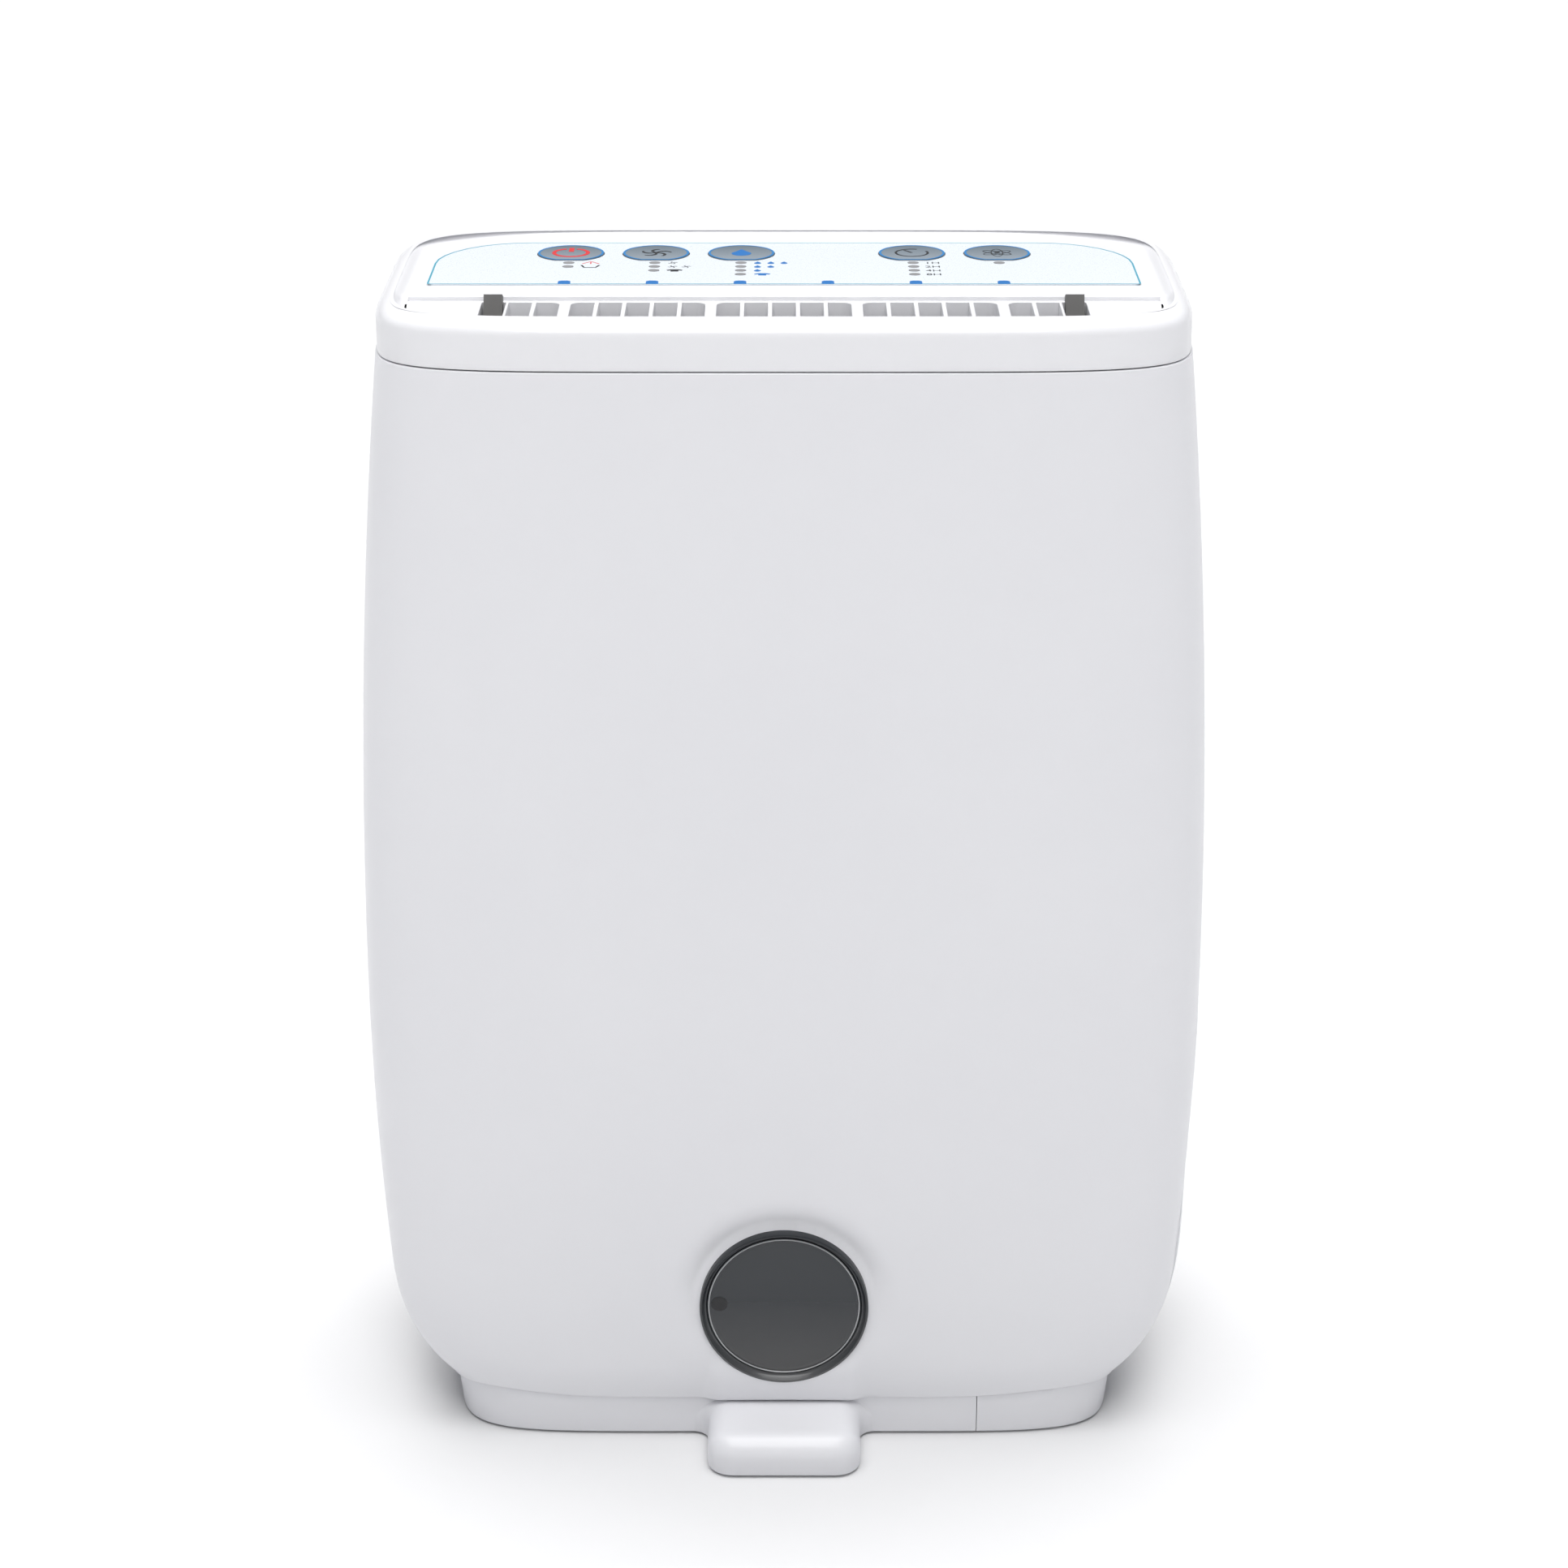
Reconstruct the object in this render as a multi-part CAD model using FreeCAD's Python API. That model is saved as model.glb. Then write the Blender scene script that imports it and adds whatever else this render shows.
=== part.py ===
import FreeCAD, Part
import math
import os

from FreeCAD import Vector

# Rotor dehumidifier. Millimetres. X to the right, Y to the back, Z up, origin under the middle of the
# outer box. Air comes in at the back, passes filter, condenser and rotor, and leaves at the top.

# ---- driving dimensions: casing ----
BODY_WIDTH = 351.0
BODY_HEIGHT = 492.0
TOTAL_DEPTH = 198.0
FOOT_REACH = 32.0
WALL = 2.6
PLAN_POWER = 6.0
OUTLINE_POINTS = 56
FINE_STEPS = 720
FUSE_TOLERANCE = 0.001
WIDEST_Z = 194.0
UPPER_SIDE_RADIUS = 2700.0
LOWER_SIDE_RADIUS = 1550.0
LOWER_CORNER_RADIUS = 65.0
BODY_BOTTOM_Z = 12.0
FRONT_TUCK = 2.0
TUCK_RISE = 14.0
COVER_HEIGHT = 19.5
COVER_CREST_RADIUS = 7.0
COVER_INSET = 0.6
SEAM = 0.5
COVER_PLUG = 6.0
SPLIT_SETBACK = 5.0

# ---- driving dimensions: base ----
BASE_INSET = 33.0
BASE_FLARE = 2.5
BASE_FRONT_INSET = 1.5
BASE_REAR_INSET = 6.0
BASE_POWER = 7.0
BASE_TOP_Z = 22.0
BASE_FLOOR = 3.0
BASE_SEAM_X = 83.0
BASE_SEAM_GAP = 0.3
FOOT_WIDTH = 65.0
FOOT_HEIGHT = 18.0
FOOT_ROUND = 8.0
FOOT_SEAT = 6.0
FOOT_FLARE = 7.0
FLARE_RADIUS = 9.0
PAD_HEIGHT = 1.0
PAD_RADIUS = 9.0
PAD_RECESS = 0.8

# ---- driving dimensions: window ----
WINDOW_Z = 65.0
WINDOW_RADIUS = 33.0
BEZEL_WIDTH = 2.8
BEZEL_PROUD = 3.2
BEZEL_DEPTH = 8.0
LENS_RECESS = 2.7
LENS_THICK = 2.5
NECK_WIDTH = 64.0
NECK_PROUD = 2.6

# ---- driving dimensions: deck, controls and outlet ----
DECK_DEPTH = 2.5
DECK_STEP = 2.0
DECK_PLATE = 2.5
RIM_SIDE = 12.0
RIM_FRONT = 15.0
RIM_BACK = 11.0
DECK_CORNER = 30.0
STEP_Y = -13.5
OVERLAY_FRONT_Y = 3.0
OVERLAY_DEPTH = 74.0
OVERLAY_WIDTH = 286.0
OVERLAY_CORNER = 38.0
OVERLAY_THICK = 0.6
BUTTON_RADIUS = 13.6
BUTTON_CHORD = 12.4
BUTTON_PITCH = 35.2
BUTTON_Y = 56.5
BUTTON_CAP = 3.4
BUTTON_PROUD = 0.4
BUTTON_TRAVEL = 0.8
BUTTON_STEM_RADIUS = 3.0
BUTTON_GAP = 0.35
BUTTONS = {"power": -2.5, "fan": -1.5, "humidity": -0.5, "timer": 1.5, "ioniser": 2.5}
LIGHTS = {"power": 2, "fan": 3, "humidity": 4, "timer": 4, "ioniser": 1}
LIGHT_RADIUS = 1.9
LIGHT_FIRST_Y = 40.0
LIGHT_PITCH = 6.7
BOARD_THICK = 1.6
SWITCH_HEIGHT = 3.4
GRILLE_HEIGHT = 11.0
GRILLE_GROUPS = (2, 5, 5, 5, 2)
CELL_WIDTH = 9.2
CELL_RIB = 1.74
GROUP_GAP = 4.5
LEVER_SLOT = 9.5
SLOT_MARGIN = 2.2
CELL_MARGIN = 1.8
DUCT_WALL = 2.0
DUCT_HEIGHT = 44.0
LOUVRE_DROP = 24.0
LOUVRE_SETBACK = 3.75
LOUVRE_CHORD = 24.0
LOUVRE_THICK = 2.0
LEVER_THICK = 7.4
LEVER_LENGTH = 5.0
LEVER_PROUD = 5.4
LEVER_LEAN = 22.0
PIN_RADIUS = 2.5
RUN_FIT = 0.05
MOVE_GAP = 0.35

# ---- driving dimensions: air path ----
ROTOR_Z = 300.0
ROTOR_FRONT_Y = 26.0
ROTOR_THICK = 20.0
ROTOR_RADIUS = 105.0
GEAR_MODULE = 2.0
RIM_TEETH = 112
PINION_TEETH = 14
GEAR_FACE = 12.0
PINION_ANGLE = -25.0
HUB_RADIUS = 14.0
AXLE_RADIUS = 5.0
FRAME_WALL = 3.0
PARTITION_Y = 18.0
PARTITION_WIDTH = 292.0
PARTITION_RISE = 155.0
SPIDER_ARM = 8.0
HEATER_SPAN = 60.0
HEATER_DEPTH = 18.0
SHEET = 1.6
CONDENSER_DEPTH = 14.0
CONDENSER_WIDTH = 268.0
CONDENSER_TUBES = 21
TUBE_RADIUS = 4.2
HEADER_HEIGHT = 10.0
TRAY_HEIGHT = 12.0
TRAY_REACH = 34.0
SPOUT_RADIUS = 5.0
SPOUT_Y = 60.0
FAN_RADIUS = 78.0
FAN_DEPTH = 34.0
FAN_BLADES = 32
FAN_BLADE_DEPTH = 16.0
FAN_INLET_RADIUS = 58.0
SCROLL_DEPTH = 45.0
SCROLL_GAP = 18.0
MOTOR_RADIUS = 28.0
SHAFT_RADIUS = 4.0
REGEN_X = -108.0
REGEN_Z = 418.0
REGEN_RADIUS = 26.0
REGEN_BLADES = 16
INLET_WIDTH = 236.0
INLET_BOTTOM_Z = 176.0
INLET_TOP_Z = 412.0
SLAT_PITCH = 8.0
SLAT_GAP = 5.0
FILTER_DEPTH = 5.0
FILTER_BAR = 5.0
MESH_THICK = 0.8

# ---- driving dimensions: tank ----
TANK_FRONT_Y = -34.0
TANK_REAR_Y = 70.0
TANK_LEFT_X = -108.0
TANK_RIGHT_X = 145.0
TANK_TOP_Z = 118.0
TANK_WALL = 2.0
TANK_CORNER = 8.0
LID_THICK = 2.5
FACE_TOP_Z = 186.0
MOUTH_MARGIN = 4.0
GRIP_WIDTH = 60.0
GRIP_HEIGHT = 24.0
GRIP_DEPTH = 18.0
GRIP_Z = 152.0
SHELF_GAP = 3.5
FLOAT_PIN_RADIUS = 1.5
HANDLE_WIDTH = 112.0
HANDLE_HEIGHT = 28.0
HANDLE_DEPTH = 22.0
HANDLE_Z = 448.0
GLAND_X = -110.0
GLAND_Z = 60.0
GLAND_RADIUS = 7.0
SCREW_RADIUS = 1.9
SCREW_HEAD = 3.8
SCREW_SEAT = 1.5
SCREW_LENGTH = 12.0

# ---- derived places ----
BACK_Y = TOTAL_DEPTH / 2.0
FRONT_Y = -TOTAL_DEPTH / 2.0 + FOOT_REACH
CENTRE_Y = FRONT_Y + (BACK_Y - FRONT_Y) / 2.0 - 1.0
FRONT_HALF = CENTRE_Y - FRONT_Y
REAR_HALF = BACK_Y - CENTRE_Y
MAX_HALF = BODY_WIDTH / 2.0
COVER_Z = BODY_HEIGHT - COVER_HEIGHT
HOUSING_TOP_Z = COVER_Z - SEAM
SPLIT_Y = CENTRE_Y + SPLIT_SETBACK
DECK_Z = BODY_HEIGHT - DECK_DEPTH
GRILLE_Z = DECK_Z - DECK_STEP
FAR = 2.0 * (BODY_WIDTH + BODY_HEIGHT)


def block(x0, x1, y0, y1, z0, z1):
    return Part.makeBox(x1 - x0, y1 - y0, z1 - z0, Vector(x0, y0, z0))


def rod_x(y, z, radius, x0, x1):
    return Part.makeCylinder(radius, x1 - x0, Vector(x0, y, z), Vector(1, 0, 0))


def rod_y(x, z, radius, y0, y1):
    return Part.makeCylinder(radius, y1 - y0, Vector(x, y0, z), Vector(0, 1, 0))


def rod_z(x, y, radius, z0, z1):
    return Part.makeCylinder(radius, z1 - z0, Vector(x, y, z0), Vector(0, 0, 1))


def ring_y(x, z, outer, inner, y0, y1):
    return rod_y(x, z, outer, y0, y1).cut(rod_y(x, z, inner, y0 - 1.0, y1 + 1.0))


def join(shapes):
    first = shapes[0]
    return first.fuse(shapes[1:])


def save(name, shape):
    shape.exportStep("parts/%s.step" % name)


def half_oval(z, half_width, depth, power, start):
    """Evenly spaced points along half a superellipse, from its right or its left end."""
    fine = []
    for i in range(FINE_STEPS + 1):
        angle = start + math.pi * i / FINE_STEPS
        c = math.cos(angle)
        s = math.sin(angle)
        reach = (abs(c / half_width) ** power + abs(s / depth) ** power) ** (-1.0 / power)
        fine.append(Vector(reach * c, CENTRE_Y + reach * s, z))
    travel = [0.0]
    for i in range(FINE_STEPS):
        travel.append(travel[i] + fine[i].distanceToPoint(fine[i + 1]))
    points = []
    count = OUTLINE_POINTS // 2
    j = 0
    for i in range(count):
        target = travel[-1] * i / count
        while travel[j + 1] <= target:
            j += 1
        share = (target - travel[j]) / (travel[j + 1] - travel[j])
        points.append(fine[j] + (fine[j + 1] - fine[j]) * share)
    return points


def oval(z, half_width, front_half, rear_half, power):
    """One closed smooth plan outline: a superellipse about the casing's middle."""
    points = half_oval(z, half_width, rear_half, power, 0.0)
    points += half_oval(z, half_width, front_half, power, math.pi)
    knots = [i / OUTLINE_POINTS for i in range(OUTLINE_POINTS + 1)]
    curve = Part.BSplineCurve()
    curve.interpolate(Points=points, PeriodicFlag=True, Parameters=knots)
    return Part.Wire(curve.toShape())


def plan_prism(z0, z1, half_width, front_half, rear_half, power):
    face = Part.Face(oval(z0, half_width, front_half, rear_half, power))
    return face.extrude(Vector(0, 0, z1 - z0))


def body_half_width(z):
    """Half width of the casing at a height: two long arcs above a round lower corner."""
    if z >= WIDEST_Z:
        return MAX_HALF - (z - WIDEST_Z) ** 2 / (2.0 * UPPER_SIDE_RADIUS)
    corner_z = LOWER_CORNER_RADIUS
    if z >= corner_z:
        return MAX_HALF - (WIDEST_Z - z) ** 2 / (2.0 * LOWER_SIDE_RADIUS)
    slope = (WIDEST_Z - corner_z) / LOWER_SIDE_RADIUS
    start = MAX_HALF - (WIDEST_Z - corner_z) ** 2 / (2.0 * LOWER_SIDE_RADIUS)
    centre_z = corner_z + LOWER_CORNER_RADIUS * slope
    drop = centre_z - z
    return start - LOWER_CORNER_RADIUS + math.sqrt(LOWER_CORNER_RADIUS ** 2 - drop ** 2)


def tuck(z):
    """How far the lowest edge of the casing turns in, front and back."""
    if z > BODY_BOTTOM_Z + TUCK_RISE:
        return 0.0
    return FRONT_TUCK * (1.0 - (z - BODY_BOTTOM_Z) / TUCK_RISE) ** 2


def body_solid(inset):
    """The casing's outer form, or with an inset the space inside its wall."""
    lower = [0.0, 4.0, 9.0, 16.0, 26.0, 40.0]
    levels = [BODY_BOTTOM_Z + step for step in lower]
    spans = 8
    for i in range(1, spans + 1):
        levels.append(levels[5] + (HOUSING_TOP_Z - levels[5]) * i / spans)
    wires = []
    for z in levels:
        turn = tuck(z) + inset
        wires.append(oval(z, body_half_width(z) - inset, FRONT_HALF - turn, REAR_HALF - turn, PLAN_POWER))
    return Part.makeLoft(wires, True, False)


def rear_wall_y(x, z):
    half = body_half_width(z)
    return CENTRE_Y + REAR_HALF * (1.0 - abs(x / half) ** PLAN_POWER) ** (1.0 / PLAN_POWER)


BODY = body_solid(0.0)
CAVITY = body_solid(WALL)
SHELL = BODY.cut(CAVITY)


def base_solid(inset, z0, z1):
    """The base's form: a lower, narrower plan that flares a little towards its top."""
    half = MAX_HALF - BASE_INSET - inset
    front = FRONT_HALF - BASE_FRONT_INSET - inset
    rear = REAR_HALF - BASE_REAR_INSET - inset
    low = oval(z0, half - BASE_FLARE / 2.0, front, rear, BASE_POWER)
    high = oval(z1, half + BASE_FLARE / 2.0, front, rear, BASE_POWER)
    return Part.makeLoft([low, high], True, True)


def tank_mouth(gap, low):
    return block(0.0, FAR, TANK_FRONT_Y - MOUTH_MARGIN + gap, TANK_REAR_Y + MOUTH_MARGIN - gap, low,
                 FACE_TOP_Z - gap)


def open_casing(shape):
    """Cuts the tank's way out and the room for the base from a casing shell."""
    return shape.cut(tank_mouth(0.0, BASE_TOP_Z - 1.0)).cut(base_solid(0.0, PAD_HEIGHT, BASE_TOP_Z))


def front_housing():
    neck = block(-NECK_WIDTH / 2, NECK_WIDTH / 2, FRONT_Y - NECK_PROUD, FRONT_Y + WALL,
                 BODY_BOTTOM_Z, WINDOW_Z - WINDOW_RADIUS / 2)
    boss = rod_y(0, WINDOW_Z, WINDOW_RADIUS + BEZEL_WIDTH + WALL, FRONT_Y - NECK_PROUD / 2, FRONT_Y + WALL)
    half = SHELL.common(block(-FAR, FAR, -FAR, SPLIT_Y, 0, HOUSING_TOP_Z))
    trim = join([half, neck.cut(CAVITY), boss.cut(CAVITY)])
    hole = rod_y(0, WINDOW_Z, WINDOW_RADIUS + BEZEL_WIDTH, -FAR, 0)
    foot_space = block(-FOOT_WIDTH / 2, FOOT_WIDTH / 2, -FAR, FRONT_Y + FOOT_SEAT, 0, FOOT_HEIGHT)
    return open_casing(trim.cut(hole).cut(foot_space))


def handle_space(grow):
    return block(-HANDLE_WIDTH / 2 - grow, HANDLE_WIDTH / 2 + grow, BACK_Y - HANDLE_DEPTH - grow, FAR,
                 HANDLE_Z - HANDLE_HEIGHT / 2 - grow, HANDLE_Z + HANDLE_HEIGHT / 2 + grow)


def screw_places():
    side = INLET_WIDTH / 2 + 16.0
    low = BASE_TOP_Z + 22.0
    heights = (low, INLET_BOTTOM_Z + 30.0, HANDLE_Z)
    return [(x, z) for z in heights for x in (-side, side)]


def screw_head_y(place):
    return rear_wall_y(*place) - SCREW_SEAT


def screws_rear():
    solids = []
    for place in screw_places():
        top = screw_head_y(place)
        head = rod_y(place[0], place[1], SCREW_HEAD, top - SCREW_SEAT, top)
        shank = rod_y(place[0], place[1], SCREW_RADIUS, top - SCREW_LENGTH, top - SCREW_SEAT)
        slot = block(place[0] - SCREW_HEAD, place[0] + SCREW_HEAD, top - 0.8, top + 1.0,
                     place[1] - 0.5, place[1] + 0.5)
        solids.append(head.fuse(shank).cut(slot))
    return Part.makeCompound(solids)


def inlet_space(grow):
    return block(-INLET_WIDTH / 2 - grow, INLET_WIDTH / 2 + grow, CENTRE_Y + 20.0, FAR,
                 INLET_BOTTOM_Z - grow, INLET_TOP_Z + grow)


def rear_housing():
    shell = SHELL.common(block(-FAR, FAR, SPLIT_Y, FAR, 0, HOUSING_TOP_Z))
    for place in screw_places():
        top = screw_head_y(place)
        boss = rod_y(place[0], place[1], SCREW_HEAD + WALL, top - SCREW_LENGTH, top)
        shell = shell.fuse(boss.common(BODY))
    for place in screw_places():
        top = screw_head_y(place)
        seat = rod_y(place[0], place[1], SCREW_HEAD + RUN_FIT, top - SCREW_SEAT, FAR)
        bore = rod_y(place[0], place[1], SCREW_RADIUS + RUN_FIT, top - SCREW_LENGTH - 1.0, top)
        shell = shell.cut(seat.fuse(bore))
    gland = rod_y(GLAND_X, GLAND_Z, GLAND_RADIUS, 0, FAR)
    return open_casing(shell.cut(inlet_space(MOVE_GAP)).cut(handle_space(WALL)).cut(gland))


def handle_cup():
    return handle_space(WALL).common(BODY).cut(handle_space(0.0))


def cable_gland():
    wall = rear_wall_y(GLAND_X, GLAND_Z)
    collar = rod_y(GLAND_X, GLAND_Z, GLAND_RADIUS, wall - WALL, BACK_Y)
    nut = rod_y(GLAND_X, GLAND_Z, GLAND_RADIUS + 2.5, wall - WALL - 5.0, wall - WALL)
    return collar.fuse(nut.common(CAVITY)).cut(rod_y(GLAND_X, GLAND_Z, GLAND_RADIUS / 2, 0, FAR))


def rounded_front(x0, x1, y0, y1, z0, z1, radius):
    solid = block(x0, x1, y0, y1, z0, z1)
    edges = []
    for edge in solid.Edges:
        centre = edge.CenterOfMass
        on_top = abs(centre.z - z1) < 1e-6 and centre.y < y1 - 1e-6
        upright = abs(centre.y - y0) < 1e-6 and abs(centre.z - (z0 + z1) / 2) < 1e-6
        if on_top or upright:
            edges.append(edge)
    return solid.makeFillet(radius, edges)


def foot_plan(side, front):
    """One side of the foot's plan from inside the base, round the flare, to the front corner's end."""
    edge = side * FOOT_WIDTH / 2
    flare_x = edge + side * FLARE_RADIUS
    flare_y = front - FOOT_FLARE
    hidden = front + BASE_FLOOR / 2 - flare_y
    across = side * math.sqrt(FLARE_RADIUS ** 2 - hidden ** 2)
    inside = Vector(flare_x - across, front + BASE_FLOOR / 2, PAD_HEIGHT)
    middle = math.asin(hidden / FLARE_RADIUS) / 2
    on_flare = Vector(flare_x - side * FLARE_RADIUS * math.cos(middle),
                      flare_y + FLARE_RADIUS * math.sin(middle), PAD_HEIGHT)
    flare_end = Vector(edge, flare_y, PAD_HEIGHT)
    corner_start = Vector(edge, -BACK_Y + FOOT_ROUND, PAD_HEIGHT)
    near = FOOT_ROUND * (1.0 - math.sqrt(0.5))
    on_corner = Vector(edge - side * near, -BACK_Y + near, PAD_HEIGHT)
    corner_end = Vector(edge - side * FOOT_ROUND, -BACK_Y, PAD_HEIGHT)
    edges = [Part.Arc(inside, on_flare, flare_end).toShape(), Part.makeLine(flare_end, corner_start),
             Part.Arc(corner_start, on_corner, corner_end).toShape()]
    return inside, corner_end, edges


def foot():
    """The rounded foot in front, with concave flares in plan where it leaves the base."""
    front = CENTRE_Y - (FRONT_HALF - BASE_FRONT_INSET)
    left_in, left_end, left = foot_plan(-1.0, front)
    right_in, right_end, right = foot_plan(1.0, front)
    outline = left + [Part.makeLine(left_end, right_end)] + right + [Part.makeLine(right_in, left_in)]
    face = Part.Face(Part.Wire(Part.__sortEdges__(outline)))
    lower = face.extrude(Vector(0, 0, FOOT_HEIGHT - FOOT_ROUND - SEAM - PAD_HEIGHT))
    upper = rounded_front(-FOOT_WIDTH / 2, FOOT_WIDTH / 2, -BACK_Y, front + BASE_FLOOR / 2 + 0.5,
                          PAD_HEIGHT, FOOT_HEIGHT, FOOT_ROUND)
    return upper.fuse(lower).Solids[0]


def pad_places():
    side = MAX_HALF - BASE_INSET - 24.0
    front = FRONT_Y + 28.0
    back = BACK_Y - 32.0
    return [(-side, front), (side, front), (-side, back), (side, back), (0.0, -BACK_Y + 14.0)]


def base_shell(low_x, high_x):
    """The hollow base between two planes across X."""
    hull = base_solid(0.0, PAD_HEIGHT, BASE_TOP_Z)
    hollow = base_solid(BASE_FLOOR, PAD_HEIGHT - 1.0, BASE_TOP_Z - BASE_FLOOR)
    return hull.cut(hollow).common(block(low_x, high_x, -FAR, FAR, -1.0, FAR))


def add_pad_posts(shape, side):
    """Posts over the pads on one side, and a seat for every pad."""
    for x, y in pad_places():
        if x * side > 0:
            shape = shape.fuse(rod_z(x, y, PAD_RADIUS + BASE_FLOOR, PAD_HEIGHT, BASE_TOP_Z - 1.0))
    for x, y in pad_places():
        shape = shape.cut(rod_z(x, y, PAD_RADIUS, 0, PAD_HEIGHT + PAD_RECESS))
    return shape


def base_pedestal():
    shell = base_shell(-FAR, BASE_SEAM_X - BASE_SEAM_GAP / 2)
    return add_pad_posts(shell.fuse(foot(), FUSE_TOLERANCE), -1.0)


def base_end_piece():
    return add_pad_posts(base_shell(BASE_SEAM_X + BASE_SEAM_GAP / 2, FAR), 1.0)


def rubber_feet():
    solids = [rod_z(x, y, PAD_RADIUS, 0, PAD_HEIGHT + PAD_RECESS) for x, y in pad_places()]
    return Part.makeCompound(solids)


def window_bezel():
    outer = WINDOW_RADIUS + BEZEL_WIDTH
    front = FRONT_Y - BEZEL_PROUD
    ring = ring_y(0, WINDOW_Z, outer, WINDOW_RADIUS, front, front + BEZEL_DEPTH)
    lip = ring_y(0, WINDOW_Z, WINDOW_RADIUS, WINDOW_RADIUS - BEZEL_WIDTH,
                 front + LENS_RECESS + LENS_THICK, front + BEZEL_DEPTH)
    return ring.fuse(lip).removeSplitter()


def water_window():
    front = FRONT_Y - BEZEL_PROUD
    return rod_y(0, WINDOW_Z, WINDOW_RADIUS, front + LENS_RECESS, front + LENS_RECESS + LENS_THICK)


def cover_outer():
    half = body_half_width(HOUSING_TOP_Z) - COVER_INSET
    straight_z = BODY_HEIGHT - COVER_CREST_RADIUS
    levels = [(COVER_Z, 0.0), ((COVER_Z + straight_z) / 2, 0.0)]
    steps = 6
    for i in range(steps + 1):
        angle = 0.5 * math.pi * i / steps
        rise = COVER_CREST_RADIUS * math.sin(angle)
        levels.append((straight_z + rise, COVER_CREST_RADIUS * (1.0 - math.cos(angle))))
    wires = []
    for z, inset in levels:
        turn = COVER_INSET + inset
        wires.append(oval(z, half - inset, FRONT_HALF - turn, REAR_HALF - turn, PLAN_POWER))
    return Part.makeLoft(wires, True, False)


def rounded_plan(x0, x1, y0, y1, z0, z1, radius, front_radius):
    solid = block(x0, x1, y0, y1, z0, z1)
    middle = (y0 + y1) / 2
    rear = [e for e in solid.Edges if is_upright(e) and e.CenterOfMass.y > middle]
    solid = solid.makeFillet(radius, rear)
    front = [e for e in solid.Edges if is_upright(e) and abs(e.CenterOfMass.y - y0) < 1e-6]
    return solid.makeFillet(front_radius, front)


def is_upright(edge):
    box = edge.BoundBox
    return box.XLength < 1e-6 and box.YLength < 1e-6


def deck_prism(z0, z1, gap):
    half = body_half_width(HOUSING_TOP_Z) - RIM_SIDE - gap
    return rounded_plan(-half, half, FRONT_Y + RIM_FRONT + gap, BACK_Y - RIM_BACK - gap, z0, z1,
                        DECK_CORNER - gap, DECK_CORNER - gap)


def grille_half():
    """Half length of the outlet grille, from its cells, gaps, slots and end margins."""
    cells = sum(GRILLE_GROUPS) * CELL_WIDTH + (sum(GRILLE_GROUPS) - len(GRILLE_GROUPS)) * CELL_RIB
    gaps = (len(GRILLE_GROUPS) - 1) * GROUP_GAP
    return (cells + gaps) / 2 + SLOT_MARGIN / 2 + LEVER_SLOT + SLOT_MARGIN


GRILLE_FRONT_Y = FRONT_Y + RIM_FRONT + 0.5
GRILLE_REAR_Y = STEP_Y - 0.5


def button_x(name):
    return BUTTONS[name] * BUTTON_PITCH


def button_plan(x, z0, z1, gap):
    """A round key with its front cut straight."""
    disc = rod_z(x, BUTTON_Y, BUTTON_RADIUS + gap, z0, z1)
    keep = block(x - FAR, x + FAR, BUTTON_Y - BUTTON_CHORD - gap, FAR, z0, z1)
    return disc.common(keep)


def light_places():
    places = []
    for name, count in LIGHTS.items():
        for i in range(count):
            places.append((button_x(name), LIGHT_FIRST_Y - i * LIGHT_PITCH))
    return places


def control_holes(z0, z1):
    holes = [button_plan(button_x(name), z0, z1, BUTTON_GAP) for name in BUTTONS]
    holes += [rod_z(x, y, LIGHT_RADIUS, z0, z1) for x, y in light_places()]
    return holes


def top_cover():
    half = body_half_width(HOUSING_TOP_Z) - WALL - MOVE_GAP
    turn = WALL + MOVE_GAP
    low = COVER_Z - COVER_PLUG
    plug = plan_prism(low, COVER_Z + 1.0, half, FRONT_HALF - turn, REAR_HALF - turn, PLAN_POWER)
    room = plan_prism(low - 1.0, DECK_Z - DECK_PLATE, half - WALL, FRONT_HALF - turn - WALL,
                      REAR_HALF - turn - WALL, PLAN_POWER)
    low_deck = block(-FAR, FAR, -FAR, STEP_Y + DECK_PLATE, GRILLE_Z - DECK_PLATE, FAR)
    cover = cover_outer().fuse(plug).cut(room.cut(low_deck))
    cover = cover.cut(deck_prism(DECK_Z, FAR, 0.0))
    step = deck_prism(GRILLE_Z, FAR, 0.0).common(block(-FAR, FAR, -FAR, STEP_Y, 0, FAR))
    mouth = block(-grille_half(), grille_half(), GRILLE_FRONT_Y, GRILLE_REAR_Y, 0, FAR)
    cover = cover.cut(step).cut(mouth)
    for hole in control_holes(DECK_Z - DECK_PLATE - 1.0, FAR):
        cover = cover.cut(hole)
    return cover


def control_panel():
    half = OVERLAY_WIDTH / 2
    sheet = rounded_plan(-half, half, OVERLAY_FRONT_Y, OVERLAY_FRONT_Y + OVERLAY_DEPTH, DECK_Z,
                         DECK_Z + OVERLAY_THICK, OVERLAY_CORNER, 4.0)
    for hole in control_holes(DECK_Z - 1.0, FAR):
        sheet = sheet.cut(hole)
    return sheet


BUTTON_TOP_Z = DECK_Z + OVERLAY_THICK + BUTTON_PROUD
STEM_LOW_Z = DECK_Z - DECK_PLATE - 4.0
BOARD_Z = STEM_LOW_Z - BUTTON_TRAVEL - 0.2 - SWITCH_HEIGHT - BOARD_THICK


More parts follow.
